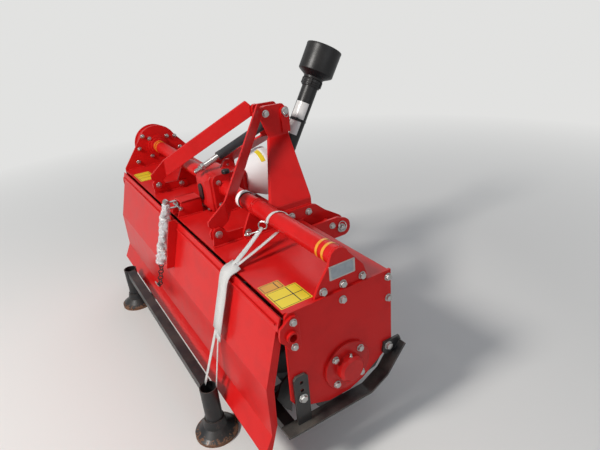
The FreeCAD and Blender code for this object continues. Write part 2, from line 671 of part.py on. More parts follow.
# hood brackets of the stays, bolted to the inner hitch plates
bracketOutline = [(at.DeckBack + 8, at.DeckZ), (-169, 609), (-167, 634), (-158, 644), (-140, 643),
                  (-118, 620), (-64, 618), (-24, 614), (-20, at.DeckZ)]
for name, sign, face in sides:
    low, high = across(sign, at.BracketX, at.BracketX + at.BracketThick)
    keep(panel("stay_bracket_" + name, low, at.BracketThick, bracketOutline))

# the tailgate: one sheet with side flanges
gatePath = [(-194, 574), (-200, 555), (-204, 533), (-254, 360), (-257, 194), (-290, 129)]
flangeOutline = gatePath[2:] + [(-262, 142), (-236, 223), (-231, 349), (-195, 483), (-190, 520)]
gateSheet = sheetAlongX("gateSheet", (-at.GateLeft, at.GateRight), gatePath, at.SheetThick)
gateBent = softened("gateBent", gateSheet, 8, lambda e: longEdge(e) and 145 < e.CenterOfMass.z < 500)
keep(fuse("tailgate", [
    gateBent,
    sheetAlongX("gateTopStrip", (5 - at.PlateLeft, at.PlateRight - 5), gatePath[:3], at.SheetThick),
    panel("gateFlangeRight", at.GateRight - at.SheetThick, at.SheetThick, flangeOutline),
    panel("gateFlangeLeft", -at.GateLeft, at.SheetThick, flangeOutline)]))

# hinge tube with the lugs that hold the tailgate
hingeLeft = at.PlateLeft + at.EarThick + at.HingeEnd
hingeRight = at.PlateRight + at.EarThick + at.HingeEnd
hingePipe = rod("hingePipe", alongX, -hingeLeft, at.HingeY, at.HingeZ, at.HingeRadius,
                hingeLeft + hingeRight)
def gateInside(z):
    """Y of the tailgate's inner face at a height between its first two long bends."""
    (y0, z0), (y1, z1) = gatePath[2:4]
    return y0 + (y1 - y0) * (z0 - z) / (z0 - z1) + at.SheetThick * 1.05 + at.Seat / 3


lugOutline = [(gateInside(at.HingeZ + 13), at.HingeZ + 13), (gateInside(at.HingeZ - 17), at.HingeZ - 17),
              (at.HingeY - 4, at.HingeZ - 13), (at.HingeY - 4, at.HingeZ + 13)]
lugs = [panel("hingeLug%d" % n, x, 8, lugOutline)
        for n, x in enumerate((-740, -390, -4, 382, 732))]
keep(cut("tailgate_hinge", fuse("hingeWelded", [hingePipe] + lugs), [
    rod("hingeBore", alongX, -hingeLeft - 1, at.HingeY, at.HingeZ, at.HingeBore,
        hingeLeft + hingeRight + 2)]))

# channel and adjusting rod in the middle of the tailgate
cheek = [(-197, 572), (-201, 555), (-205, 533), (-243, 400), (-272, 404), (-250, 500), (-226, 588),
         (-203, 588)]
keep(fuse("tailgate_channel", [
    panel("channelRight", 24, 5, cheek),
    panel("channelLeft", -82, 5, cheek),
    panel("channelWeb", -82, 111, [(-201, 555), (-205, 533), (-243, 400), (-248, 401), (-210, 533),
                                    (-206, 555)])]))
rodTop = rod("rodHead", alongX, -77, -216, 576, 9, 101)
rodBar = place(tie(doc.addObject("Part::Cylinder", "rodBar"), Radius=9, Height=258),
               -26, -216, 576, FreeCAD.Rotation(V(1, 0, 0), 180 - 15))
keep(fuse("tailgate_rod", [rodTop, rodBar]))

# driveline leaning forward over its joint: shield, bell, and the front yoke inside the bell
alongLine = FreeCAD.Rotation(V(1, 0, 0), 90 - float(at.Lean)) * sideOn
bellFoot = at.BellMouth - at.BellLength
lineHole = at.LineTube + at.Seat
keep(turned("driveline_shield", alongLine, 0, at.JointY, at.JointZ, [
    (at.LineFoot, lineHole), (at.LineFoot, at.LineRadius), (bellFoot, at.LineRadius), (bellFoot, lineHole)]))
keep(turned("driveline_bell", alongLine, 0, at.JointY, at.JointZ, [
    (bellFoot, lineHole), (bellFoot, at.LineRadius + 8), (bellFoot + 30, at.LineRadius + 12),
    (bellFoot + 70, at.BellRadius), (at.BellMouth, at.BellRadius + at.BellLip),
    (at.BellMouth, at.BellRadius + at.BellLip - 4), (bellFoot + 72, at.BellRadius - 4),
    (bellFoot + 34, lineHole)]))


def lineBox(name, along, square, x):
    """A block on the driveline: (low, high) along it, square to it and in X."""
    made = tie(doc.addObject("Part::Box", name), Length=along[1] - along[0],
               Width=square[1] - square[0], Height=x[1] - x[0])
    return place(made, x[0], at.JointY + along[0] * math.sin(lean) - square[0] * math.cos(lean),
                 at.JointZ + along[0] * math.cos(lean) + square[0] * math.sin(lean), alongLine)


yokeEnd = at.BellMouth - 12
yokeCross = yokeEnd - 48
keep(fuse("driveline_yoke", [
    turned("yokeTube", alongLine, 0, at.JointY, at.JointZ, [
        (bellFoot - 30, 0), (bellFoot - 30, at.LineTube), (yokeCross - 26, at.LineTube),
        (yokeCross - 26, 32), (yokeCross - 16, 32), (yokeCross - 16, 0)]),
    lineBox("yokeEarRight", (yokeCross - 18, yokeCross + 13), (-13, 13), (22, 32)),
    lineBox("yokeEarLeft", (yokeCross - 18, yokeCross + 13), (-13, 13), (-32, -22)),
    lineBox("yokeCrossAcross", (yokeCross - 7, yokeCross + 7), (-7, 7), (-31, 31)),
    lineBox("yokeCrossSquare", (yokeCross - 7, yokeCross + 7), (-31, 31), (-7, 7)),
    lineBox("hubEarFront", (yokeCross - 13, yokeCross + 18), (22, 32), (-13, 13)),
    lineBox("hubEarRear", (yokeCross - 13, yokeCross + 18), (-32, -22), (-13, 13)),
    turned("yokeHub", alongLine, 0, at.JointY, at.JointZ, [
        (yokeCross + 16, 0), (yokeCross + 16, 32), (yokeCross + 24, 32), (yokeCross + 26, 27),
        (yokeEnd, 27), (yokeEnd, at.YokeBore), (yokeCross + 22, at.YokeBore), (yokeCross + 22, 0)])]))
keep(fuse("driveline_joint", [
    rod("yokeRearHub", alongY, 0, at.ShaftEnd, at.TubeZ, 24, 36),
    box("yokeRearRight", (24, 36), (at.ShaftEnd + 30, at.JointY + 14), (at.TubeZ - 15, at.TubeZ + 15)),
    box("yokeRearLeft", (-36, -24), (at.ShaftEnd + 30, at.JointY + 14), (at.TubeZ - 15, at.TubeZ + 15)),
    box("yokeRearBase", (-36, 36), (at.ShaftEnd + 26, at.ShaftEnd + 40), (at.TubeZ - 15, at.TubeZ + 15)),
    rod("crossPin", alongX, -38, at.JointY, at.JointZ, 9, 76),
    turned("yokeFront", alongLine, 0, at.JointY, at.JointZ, [(-12, 0), (-12, 20), (at.LineFoot, 20),
                                                             (at.LineFoot, 0)])]))

# rotor: tube and stub shafts, and the flange of each row of tines
stubLeft = at.PlateLeft + at.StubReach
stubRight = at.PlateRight + at.StubReach
rotorHalf = at.PlateLeft - at.PlateThick - at.RotorGap
rotorPieces = [
    rod("rotorTube", alongX, -rotorHalf, 0, at.RotorZ, at.RotorTube, rotorHalf * 2),
    rod("rotorStubs", alongX, 1 - stubLeft, 0, at.RotorZ, at.StubRadius, stubLeft + stubRight - 2)]

# tine outline: (radius, degrees behind the leg's middle), up the leading edge and down the other
tineOutline = [(40, -22), (90, -13), (140, -4), (186, 8), (222, 22),
               (222, 44), (186, 34), (140, 22), (90, 13), (40, 22)]


def tineRing(name, x, sign):
    """The ring that a row's tines are cut from: a flat leg, and a foot bent along the rotor."""
    bend = at.TineThick + 12
    profile = [(0, at.TineRoot), (0, at.TineReach), (sign * at.TineFoot, at.TineReach),
               (sign * at.TineFoot, at.TineReach - at.TineThick),
               (sign * bend, at.TineReach - at.TineThick),
               (sign * at.TineThick, at.TineReach - bend), (sign * at.TineThick, at.TineRoot)]
    return turned(name, frontOn, x, 0, at.RotorZ, profile)


def tineRow(name, x, sign, angles):
    """Tines of one hand on one face of a flange, at angles in degrees from +Y."""
    low, high = (x, x + at.TineFoot) if sign > 0 else (x - at.TineFoot, x)
    blades = []
    for n, angle in enumerate(angles):
        outline = []
        for radius, behind in tineOutline:
            turn = math.radians(angle + behind)
            outline.append((radius * math.cos(turn), at.RotorZ + radius * math.sin(turn)))
        blades.append(panel("%sBlade%d" % (name, n), low, high - low, outline))
    return common(name, tineRing(name + "Ring", x, sign), fuse(name + "Blades", blades))


# tine flanges: (from the middle to the flange's left face), spaced evenly, each turned on by a step
rowCount = 8
rowStep = (rotorHalf * 2 - 4 - at.HubThick) / (rowCount - 1)
rowTurn = 17
handed = {1: [], -1: []}
for n in range(rowCount):
    x = 2 - rotorHalf + rowStep * n
    rotorPieces.append(rod("tineFlange%d" % n, alongX, x, 0, at.RotorZ, at.HubRadius, at.HubThick))
    for sign, face, last in ((1, x + at.HubThick, rowCount - 1), (-1, x, 0)):
        if n == last:
            continue
        alone = n in (0, rowCount - 1)
        spots = range(6) if alone else range(0 if sign > 0 else 1, 6, 2)
        angles = [rowTurn * n + 60 * spot for spot in spots]
        name = "tineRow%d%s" % (n, "Right" if sign > 0 else "Left")
        handed[sign].append(tineRow(name, face, sign, angles))
keep(fuse("rotor_shaft", rotorPieces))
keep(fuse("tines_right_hand", handed[1]))
keep(fuse("tines_left_hand", handed[-1]))

# transport stand: four open posts on flared cups, hollow from below
cupProfile = [
    (0, at.CupRadius), (12, at.CupRadius), (20, at.CupRadius - 12), (38, at.PostRadius + 12),
    (at.CupTop, at.PostRadius + 5), (at.CupTop, 0), (40, 0), (40, at.PostRadius + 9 - at.CupWall),
    (22, at.CupRadius - 14 - at.CupWall), (10, at.CupRadius - at.CupWall), (0, at.CupRadius - at.CupWall)]
posts = []
for acrossName, sign in (("Right", 1), ("Left", -1)):
    for deepName, y in (("Rear", at.PostY), ("Front", at.PostFrontY)):
        name = "post" + acrossName + deepName
        x = sign * at.PostX
        solid = fuse(name + "Welded", [
            rod(name, alongZ, x, y, 41, at.PostRadius, at.PostTop - 41),
            turned(name + "Cup", upOn, x, y, 0, cupProfile)])
        posts.append(cut(name + "Open", solid, [
            rod(name + "Bore", alongZ, x, y, 48, at.PostRadius - at.PostWall, 200)]))
keep(fuse("stand_posts", posts))

# floor rails between the cups, front to rear
railZ = (at.RailZ, at.RailZ + at.BarSide)
railY = (at.PostY + at.CupRadius + at.Seat, at.PostFrontY - at.CupRadius - at.Seat)
rails = []
for acrossName, sign in (("Right", 1), ("Left", -1)):
    low, high = across(sign, at.PostX - at.BarSide / 2, at.PostX + at.BarSide / 2)
    rails.append(box("rail" + acrossName, (low, high), railY, railZ))
keep(fuse("stand_rails", rails))

# bar between the rear posts
barEnd = at.PostX - at.PostRadius - at.Seat
keep(box("stand_rear_bar", (-barEnd, barEnd),
         (at.PostY - at.BarSide / 2, at.PostY + at.BarSide / 2),
         (at.PostTop - at.BarSide, at.PostTop)))

# carrier under the runners, on two legs that stand on the rails
carrierEnd = at.PlateLeft - 6
carrierY = (at.CarrierY, at.CarrierY + at.BarSide)
carrierPieces = [box("carrierBar", (-carrierEnd, carrierEnd), carrierY,
                     (at.SkidZ - at.BarSide, at.SkidZ))]
for acrossName, sign in (("Right", 1), ("Left", -1)):
    low, high = across(sign, at.PostX - at.BarSide / 2, at.PostX + at.BarSide / 2)
    carrierPieces.append(box("carrierLeg" + acrossName, (low, high), carrierY,
                             (railZ[1], at.SkidZ - at.BarSide)))
keep(fuse("stand_carrier", carrierPieces))

# front floor beam, and the uprights that carry the hitch plates
frontEnd = at.PostX - at.CupRadius - at.Seat
frontY = (at.PostFrontY - at.BarSide / 2, at.PostFrontY + at.BarSide / 2)
keep(box("stand_front_beam", (-frontEnd, frontEnd), frontY, railZ))
uprights = []
middle = (at.HitchIn + at.HitchOut + at.HitchThick) / 2
for acrossName, sign in (("Right", 1), ("Left", -1)):
    low, high = across(sign, middle - at.BarSide / 2, middle + at.BarSide / 2)
    wideLow, wideHigh = across(sign, at.HitchIn - 4, at.HitchOut + at.HitchThick + 4)
    uprights.append(fuse("upright" + acrossName, [
        box("uprightTube" + acrossName, (low, high), frontY, (railZ[1], hitchFoot - 8)),
        box("uprightPad" + acrossName, (wideLow, wideHigh), (frontY[0] - 8, frontY[1] + 8),
            (hitchFoot - 8, hitchFoot))]))
keep(fuse("stand_uprights", uprights))


def band(name, start, end, width, thick):
    """A flat stretch of strap between two points, its width as level as it can lie."""
    run = V(*end) - V(*start)
    turn = FreeCAD.Rotation(run, V(1, 0, 0), V(), "XYZ")
    lap = thick / 2
    corner = V(*start) - turn.multVec(V(lap, width / 2, thick / 2))
    made = tie(doc.addObject("Part::Box", name), Length=run.Length + 2 * lap, Width=width, Height=thick)
    return place(made, corner.x, corner.y, corner.z, turn)


# white tie strap: round the right cross tube, over the rear of the deck in a wide sleeve,
# and down to the rear post in two thin ends
strapX = 438
loop = rod("strapLoop", alongX, strapX - 10, at.TubeY, at.TubeZ, at.TubeRadius + 3.3, 20)
strapEdge, strapTurn, strapMiddle = (486, -176, 585.5), (489, -204, 580.5), (492, -219, 556)
sleeveEnd = (491, -267, 386)
strap = fuse("strapWhole", [
    loop,
    band("strapDeck", (strapX, -24, 652), strapEdge, 22, 3),
    band("sleeveDeck", strapEdge, strapTurn, 42, 5),
    band("sleeveTurn", strapTurn, strapMiddle, 42, 5),
    band("sleeveDown", strapMiddle, sleeveEnd, 42, 5),
    band("strapEndLeft", (486, -265, 394), (468, -330, 195), 11, 3),
    band("strapEndRight", (498, -265, 394), (504, -308, 195), 11, 3)])
keep(cut("tie_strap", strap, [
    rod("strapLoopHole", alongX, strapX - 11, at.TubeY, at.TubeZ, at.TubeRadius + at.Seat, 22)]))

doc.recompute()
failed = [o.Label for o in doc.Objects if {"Invalid", "Error"} & set(o.State)]
failed += [n.Label for n in nodes if n.Shape.isNull() or not n.Shape.isValid()]
if failed:
    raise RuntimeError("not built: " + ", ".join(failed))
os.makedirs("parts", exist_ok=True)
for piece in nodes:
    piece.Shape.exportStep("parts/%s.step" % piece.Label)
    print(piece.Label, len(piece.Shape.Solids), round(piece.Shape.Volume / 1000), "cm3")
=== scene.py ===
import json
import math
import bmesh
import bpy
from mathutils import Matrix, Vector


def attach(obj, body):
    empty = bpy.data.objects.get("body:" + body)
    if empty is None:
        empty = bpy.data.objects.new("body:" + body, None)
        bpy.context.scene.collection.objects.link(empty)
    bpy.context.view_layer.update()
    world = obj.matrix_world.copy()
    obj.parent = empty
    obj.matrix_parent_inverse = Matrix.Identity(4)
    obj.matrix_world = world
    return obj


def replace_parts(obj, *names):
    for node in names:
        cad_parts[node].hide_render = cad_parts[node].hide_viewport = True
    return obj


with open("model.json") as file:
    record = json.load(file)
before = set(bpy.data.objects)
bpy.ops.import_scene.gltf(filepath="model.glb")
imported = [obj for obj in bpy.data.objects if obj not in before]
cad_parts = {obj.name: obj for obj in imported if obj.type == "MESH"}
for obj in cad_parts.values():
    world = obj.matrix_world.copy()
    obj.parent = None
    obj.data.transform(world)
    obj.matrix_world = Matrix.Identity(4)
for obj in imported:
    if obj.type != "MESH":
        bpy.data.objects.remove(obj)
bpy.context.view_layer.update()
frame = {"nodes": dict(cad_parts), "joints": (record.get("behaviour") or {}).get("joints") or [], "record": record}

print("frame loaded:", len(frame["nodes"]), "nodes")

# places are in mm from the rotor's axis, midway between the hitch plates, with Z up from the floor
spin = next(j for j in frame["joints"] if j["name"] == "rotor_spin")["pos_m"]


def at(x, y, z):
    return Vector((spin[0] + x / 1000, spin[1] + y / 1000, z / 1000))


# ---- camera, floor and light

camera = {"place": (1702.0, -633.4, 1295.9), "azimuth": 59.96, "elevation": 25.01, "roll": -5.37, "lens": 28.96}


def addCamera():
    az, el, roll = (math.radians(camera[k]) for k in ("azimuth", "elevation", "roll"))
    look = Vector((-math.sin(az) * math.cos(el), math.cos(az) * math.cos(el), -math.sin(el)))
    right = look.cross(Vector((0, 0, 1))).normalized()
    up = right.cross(look)
    turned = right * math.cos(roll) + up * math.sin(roll)
    raised = up * math.cos(roll) - right * math.sin(roll)
    data = bpy.data.cameras.new("camera")
    data.lens = camera["lens"]
    data.sensor_width = 36
    data.clip_start = 0.05
    obj = bpy.data.objects.new("camera", data)
    bpy.context.collection.objects.link(obj)
    obj.matrix_world = Matrix.Translation(at(*camera["place"])) @ Matrix((turned, raised, -look)).transposed().to_4x4()
    bpy.context.scene.camera = obj


floor = {"half": 30.0, "color": (0.80, 0.79, 0.77, 1), "roughness": 0.85, "nearFade": 1.4, "farFade": 4.0}
pale = (0.76, 0.76, 0.75, 1)
lamps = [  # name, direction the light comes from, distance m, size m, watts, colour
    ("key", (0.14, -0.72, 0.66), 4.6, 1.0, 165, (1.0, 0.97, 0.93)),
    ("fill", (0.95, 0.25, 0.45), 5.0, 3.0, 20, (0.92, 0.96, 1.0)),
    ("back", (-0.75, 0.55, 0.6), 5.0, 3.0, 30, (0.95, 0.97, 1.0)),
]
sky = {"color": (0.86, 0.92, 1.0, 1), "strength": 0.28}


def newMaterial(name):
    mat = bpy.data.materials.new(name)
    mat.use_nodes = True
    return mat, mat.node_tree, mat.node_tree.nodes["Principled BSDF"]


def addNode(tree, kind, settings=None, **values):
    node = tree.nodes.new("ShaderNode" + kind)
    for key, value in (settings or {}).items():
        setattr(node, key, value)
    for key, value in values.items():
        socket = node.inputs[int(key[1:])] if key[0] == "i" and key[1:].isdigit() else node.inputs[key]
        if isinstance(value, bpy.types.NodeSocket):
            tree.links.new(value, socket)
        else:
            socket.default_value = value
    return node


def mathNode(tree, operation, a, b=0.0, clamp=False):
    return addNode(tree, "Math", {"operation": operation, "use_clamp": clamp}, i0=a, i1=b).outputs[0]


def mixColor(tree, amount, a, b):
    return addNode(tree, "Mix", {"data_type": "RGBA"}, i0=amount, i6=a, i7=b).outputs[2]


def ramp(tree, value, low, high):  # 0 below low, 1 above high
    node = addNode(tree, "MapRange", Value=value)
    node.inputs["From Min"].default_value = low
    node.inputs["From Max"].default_value = high
    return node.outputs[0]


def seenRays(tree):
    rays = addNode(tree, "LightPath").outputs
    mirror = mathNode(tree, "MULTIPLY", rays["Is Glossy Ray"], 0.5)
    through = mathNode(tree, "ADD", rays["Is Camera Ray"], rays["Is Transmission Ray"])
    return mathNode(tree, "ADD", through, mirror, clamp=True)


def addFloor():  # the floor fades into the pale background, so that no horizon shows
    bm = bmesh.new()
    bmesh.ops.create_grid(bm, x_segments=1, y_segments=1, size=floor["half"])
    mesh = bpy.data.meshes.new("floor")
    bm.to_mesh(mesh)
    bm.free()
    obj = bpy.data.objects.new("floor", mesh)
    bpy.context.collection.objects.link(obj)
    mat, tree, shader = newMaterial("paleFloor")
    shader.inputs["Base Color"].default_value = floor["color"]
    shader.inputs["Roughness"].default_value = floor["roughness"]
    reach = addNode(tree, "VectorMath", {"operation": "LENGTH"}, i0=addNode(tree, "TexCoord").outputs["Object"])
    fade = ramp(tree, reach.outputs["Value"], floor["nearFade"], floor["farFade"])
    glow = addNode(tree, "Emission", Color=pale)
    both = addNode(tree, "MixShader", i0=mathNode(tree, "MULTIPLY", fade, seenRays(tree)), i1=shader.outputs[0],
                   i2=glow.outputs[0])
    tree.links.new(both.outputs[0], tree.nodes["Material Output"].inputs["Surface"])
    mesh.materials.append(mat)


def addLamps():
    aim = at(0, 0, 450)
    for name, way, distance, size, watts, color in lamps:
        data = bpy.data.lights.new(name, "AREA")
        data.shape = "DISK"
        data.size = size
        data.energy = watts
        data.color = color
        obj = bpy.data.objects.new(name, data)
        bpy.context.collection.objects.link(obj)
        away = Vector(way).normalized()
        obj.matrix_world = Matrix.Translation(aim + away * distance) @ away.to_track_quat("Z", "Y").to_matrix().to_4x4()
    world = bpy.data.worlds.new("sky")
    world.use_nodes = True
    tree = world.node_tree
    light = tree.nodes["Background"]
    light.inputs["Color"].default_value = sky["color"]
    light.inputs["Strength"].default_value = sky["strength"]
    shown = addNode(tree, "Background", Color=pale)
    both = addNode(tree, "MixShader", i0=seenRays(tree), i1=light.outputs[0], i2=shown.outputs[0])
    tree.links.new(both.outputs[0], tree.nodes["World Output"].inputs["Surface"])
    bpy.context.scene.world = world


addCamera()
addFloor()
addLamps()
bpy.context.scene.view_settings.view_transform = "Standard"
print("camera, floor and lamps set")


# ---- shared effects as node groups

def newGroup(name, inputs, outputs):
    group = bpy.data.node_groups.new(name, "ShaderNodeTree")
    for label, kind, value in inputs:
        socket = group.interface.new_socket(label, in_out="INPUT", socket_type="NodeSocket" + kind)
        if value is not None:
            socket.default_value = value
    for label, kind in outputs:
        group.interface.new_socket(label, in_out="OUTPUT", socket_type="NodeSocket" + kind)
    start = group.nodes.new("NodeGroupInput")
    end = group.nodes.new("NodeGroupOutput")
    return group, start, end


def makeRoundEdges():  # softens hard edges in the shading and marks them
    group, start, end = newGroup("roundEdges", [("Radius", "Float", 0.0015)], [("Normal", "Vector"), ("Edge", "Float")])
    bevel = addNode(group, "Bevel", {"samples": 4}, Radius=start.outputs["Radius"])
    flat = addNode(group, "NewGeometry")
    dot = addNode(group, "VectorMath", {"operation": "DOT_PRODUCT"}, i0=bevel.outputs[0], i1=flat.outputs["Normal"])
    edge = mathNode(group, "MULTIPLY", mathNode(group, "SUBTRACT", 1.0, dot.outputs["Value"]), 6.0, clamp=True)
    group.links.new(bevel.outputs[0], end.inputs["Normal"])
    group.links.new(edge, end.inputs["Edge"])
    return group


def makeDust():  # pale dust that settles on faces that look up
    group, start, end = newGroup("dust", [("Amount", "Float", 0.5), ("Scale", "Float", 9.0)], [("Mask", "Float")])
    place = addNode(group, "TexCoord").outputs["Object"]
    blotch = addNode(group, "TexNoise", Vector=place, Scale=start.outputs["Scale"], Detail=6.0, Roughness=0.6)
    speck = addNode(group, "TexNoise", Vector=place, Scale=420.0, Detail=2.0)
    up = addNode(group, "SeparateXYZ", Vector=addNode(group, "NewGeometry").outputs["Normal"]).outputs["Z"]
    facing = mathNode(group, "MULTIPLY", mathNode(group, "ADD", up, 0.35), 0.75, clamp=True)
    patch = ramp(group, blotch.outputs["Fac"], 0.38, 0.72)
    cover = mathNode(group, "MULTIPLY", patch, mathNode(group, "ADD", speck.outputs["Fac"], 0.25))
    mask = mathNode(group, "MULTIPLY", mathNode(group, "MULTIPLY", cover, facing), start.outputs["Amount"], clamp=True)
    group.links.new(mask, end.inputs["Mask"])
    return group


def makeGrain():  # the fine texture of a surface as a height, and a slow mottling
    group, start, end = newGroup("grain", [("Scale", "Float", 500.0), ("Mottle Scale", "Float", 14.0)],
                                 [("Height", "Float"), ("Mottle", "Float")])
    place = addNode(group, "TexCoord").outputs["Object"]
    fine = addNode(group, "TexNoise", Vector=place, Scale=start.outputs["Scale"], Detail=2.0, Roughness=0.5)
    slow = addNode(group, "TexNoise", Vector=place, Scale=start.outputs["Mottle Scale"], Detail=5.0, Roughness=0.55)
    group.links.new(fine.outputs["Fac"], end.inputs["Height"])
    group.links.new(slow.outputs["Fac"], end.inputs["Mottle"])
    return group


def makeRust():  # rust that creeps up from the floor, and specks of it elsewhere
    group, start, end = newGroup("rust", [("Height", "Float", 0.03), ("Specks", "Float", 0.3)],
                                 [("Mask", "Float"), ("Color", "Color")])
    place = addNode(group, "TexCoord").outputs["Object"]
    z = addNode(group, "SeparateXYZ", Vector=place).outputs["Z"]
    rough = addNode(group, "TexNoise", Vector=place, Scale=70.0, Detail=8.0, Roughness=0.7).outputs["Fac"]
    line = mathNode(group, "ADD", z, mathNode(group, "MULTIPLY", mathNode(group, "SUBTRACT", rough, 0.5), 0.09))
    low = mathNode(group, "LESS_THAN", line, start.outputs["Height"])
    speck = mathNode(group, "MULTIPLY", ramp(group, rough, 0.60, 0.68), start.outputs["Specks"])
    mask = mathNode(group, "MAXIMUM", mathNode(group, "MULTIPLY", low, 0.8), speck, clamp=True)
    tint = addNode(group, "TexNoise", Vector=place, Scale=240.0, Detail=4.0).outputs["Fac"]
    group.links.new(mask, end.inputs["Mask"])
    group.links.new(mixColor(group, tint, (0.10, 0.035, 0.015, 1), (0.30, 0.14, 0.07, 1)), end.inputs["Color"])
    return group


def makeWeave():  # webbing: ribs across and along the piece's own UV map, in mm
    group, start, end = newGroup("weave", [("Rib", "Float", 1.6)], [("Height", "Float"), ("Painted Shade", "Float")])
    uv = addNode(group, "SeparateXYZ", Vector=addNode(group, "TexCoord").outputs["UV"]).outputs
    step = mathNode(group, "DIVIDE", math.tau, start.outputs["Rib"])
    acrossWave = mathNode(group, "SINE", mathNode(group, "MULTIPLY", uv["X"], step))
    slant = mathNode(group, "ADD", uv["Y"], mathNode(group, "MULTIPLY", mathNode(group, "ABSOLUTE", acrossWave), 0.5))
    alongWave = mathNode(group, "SINE", mathNode(group, "MULTIPLY", slant, step))
    height = mathNode(group, "ADD", mathNode(group, "ABSOLUTE", acrossWave), mathNode(group, "MULTIPLY", alongWave, 0.5))
    group.links.new(height, end.inputs["Height"])
    # the low parts between the ribs are marked for painted shade
    group.links.new(ramp(group, height, 0.55, -0.3), end.inputs["Painted Shade"])
    return group


roundEdges = makeRoundEdges()
dust = makeDust()
grain = makeGrain()
rust = makeRust()
weave = makeWeave()


def useGroup(tree, group, **values):
    node = tree.nodes.new("ShaderNodeGroup")
    node.node_tree = group
    for key, value in values.items():
        socket = node.inputs[key.replace("_", " ")]
        if isinstance(value, bpy.types.NodeSocket):
            tree.links.new(value, socket)
        else:
            socket.default_value = value
    return node.outputs


# ---- paints, plastics and metals: colour, darker colour, roughness, grain scale, bump, coat, dust, edge radius mm
finishes = {
    "redPaint": dict(color=(0.66, 0.011, 0.011), dark=(0.59, 0.009, 0.009), rough=0.32, scale=260, bump=0.04,
                     coat=0.06, gloss=0.14, dust=0.02, edge=2.0, worn=(0.78, 0.05, 0.04)),
    "castRed": dict(color=(0.62, 0.012, 0.012), dark=(0.44, 0.007, 0.007), rough=0.34, scale=130, bump=0.35,
                    coat=0.08, gloss=0.20, dust=0.03, edge=3.0, worn=(0.70, 0.05, 0.04)),
    "blackPaint": dict(color=(0.018, 0.018, 0.020), dark=(0.008, 0.008, 0.009), rough=0.34, scale=300, bump=0.12,
                       coat=0.1, gloss=0.35, dust=0.34, edge=2.2, worn=(0.20, 0.19, 0.17), rust=(0.0, 0.10)),
    "standPaint": dict(color=(0.014, 0.015, 0.017), dark=(0.006, 0.006, 0.007), rough=0.42, scale=220, bump=0.2,
                       coat=0.1, gloss=0.35, dust=0.15, edge=1.2, worn=(0.16, 0.09, 0.06), rust=(0.014, 0.25)),
    "tineSteel": dict(color=(0.020, 0.020, 0.022), dark=(0.010, 0.010, 0.010), rough=0.40, scale=180, bump=0.25,
                      coat=0.1, dust=0.12, edge=1.2, worn=(0.13, 0.12, 0.11)),
    "blackPlastic": dict(color=(0.012, 0.012, 0.013), dark=(0.007, 0.007, 0.008), rough=0.36, scale=900, bump=0.1,
                         coat=0.0, gloss=0.35, dust=0.10, edge=1.5, worn=(0.05, 0.05, 0.05)),
    "whitePlastic": dict(color=(0.95, 0.95, 0.94), dark=(0.92, 0.92, 0.91), rough=0.42, scale=700, bump=0.08,
                         coat=0.0, dust=0.04, edge=2.0, worn=(0.82, 0.82, 0.80)),
    "greyPlastic": dict(color=(0.045, 0.050, 0.056), dark=(0.030, 0.033, 0.037), rough=0.5, scale=600, bump=0.1,
                        coat=0.0, gloss=0.3, dust=0.12, edge=1.5, worn=(0.12, 0.12, 0.12)),
    "yellowSign": dict(color=(0.84, 0.66, 0.03), dark=(0.78, 0.58, 0.02), rough=0.36, scale=500, bump=0.04,
                       coat=0.05, gloss=0.3, dust=0.03, edge=0.2, worn=(0.84, 0.66, 0.03)),
    "amberSign": dict(color=(0.72, 0.36, 0.05), dark=(0.64, 0.30, 0.04), rough=0.36, scale=500, bump=0.04,
                      coat=0.05, gloss=0.3, dust=0.03, edge=0.2, worn=(0.72, 0.36, 0.05)),
    "whiteLabel": dict(color=(0.80, 0.80, 0.79), dark=(0.70, 0.70, 0.68), rough=0.35, scale=500, bump=0.04,
                       coat=0.2, dust=0.12, edge=0.2, worn=(0.80, 0.80, 0.79)),
    "orangeBand": dict(color=(0.86, 0.38, 0.02), dark=(0.80, 0.30, 0.015), rough=0.36, scale=500, bump=0.05,
                       coat=0.1, dust=0.12, edge=0.8, worn=(0.82, 0.25, 0.06)),
}
dustColor = (0.42, 0.37, 0.31, 1)


def makePaint(name, f):
    mat, tree, shader = newMaterial(name)
    g = useGroup(tree, grain, Scale=f["scale"])
    r = useGroup(tree, roundEdges, Radius=f["edge"] / 1000)
    d = useGroup(tree, dust, Amount=f["dust"])
    body = mixColor(tree, ramp(tree, g["Mottle"], 0.30, 0.55), (*f["dark"], 1), (*f["color"], 1))
    wear = mathNode(tree, "MULTIPLY", r["Edge"], g["Mottle"], clamp=True)
    body = mixColor(tree, wear, body, (*f["worn"], 1))
    rough = mathNode(tree, "ADD", mathNode(tree, "MULTIPLY", g["Mottle"], 0.16), f["rough"] - 0.08)
    if "rust" in f:
        eaten = useGroup(tree, rust, Height=f["rust"][0], Specks=f["rust"][1])
        body = mixColor(tree, eaten["Mask"], body, eaten["Color"])
        rough = mathNode(tree, "ADD", rough, mathNode(tree, "MULTIPLY", eaten["Mask"], 0.4))
    body = mixColor(tree, d["Mask"], body, dustColor)
    tree.links.new(body, shader.inputs["Base Color"])
    rough = mathNode(tree, "ADD", rough, mathNode(tree, "MULTIPLY", d["Mask"], 0.5), clamp=True)
    tree.links.new(rough, shader.inputs["Roughness"])
    bump = addNode(tree, "Bump", Height=g["Height"], Normal=r["Normal"])
    bump.inputs["Strength"].default_value = f["bump"]
    bump.inputs["Distance"].default_value = 0.001
    tree.links.new(bump.outputs[0], shader.inputs["Normal"])
    shader.inputs["Specular IOR Level"].default_value = f.get("gloss", 0.5)
    shader.inputs["Coat Weight"].default_value = f["coat"]
    shader.inputs["Coat Roughness"].default_value = 0.12
    return mat


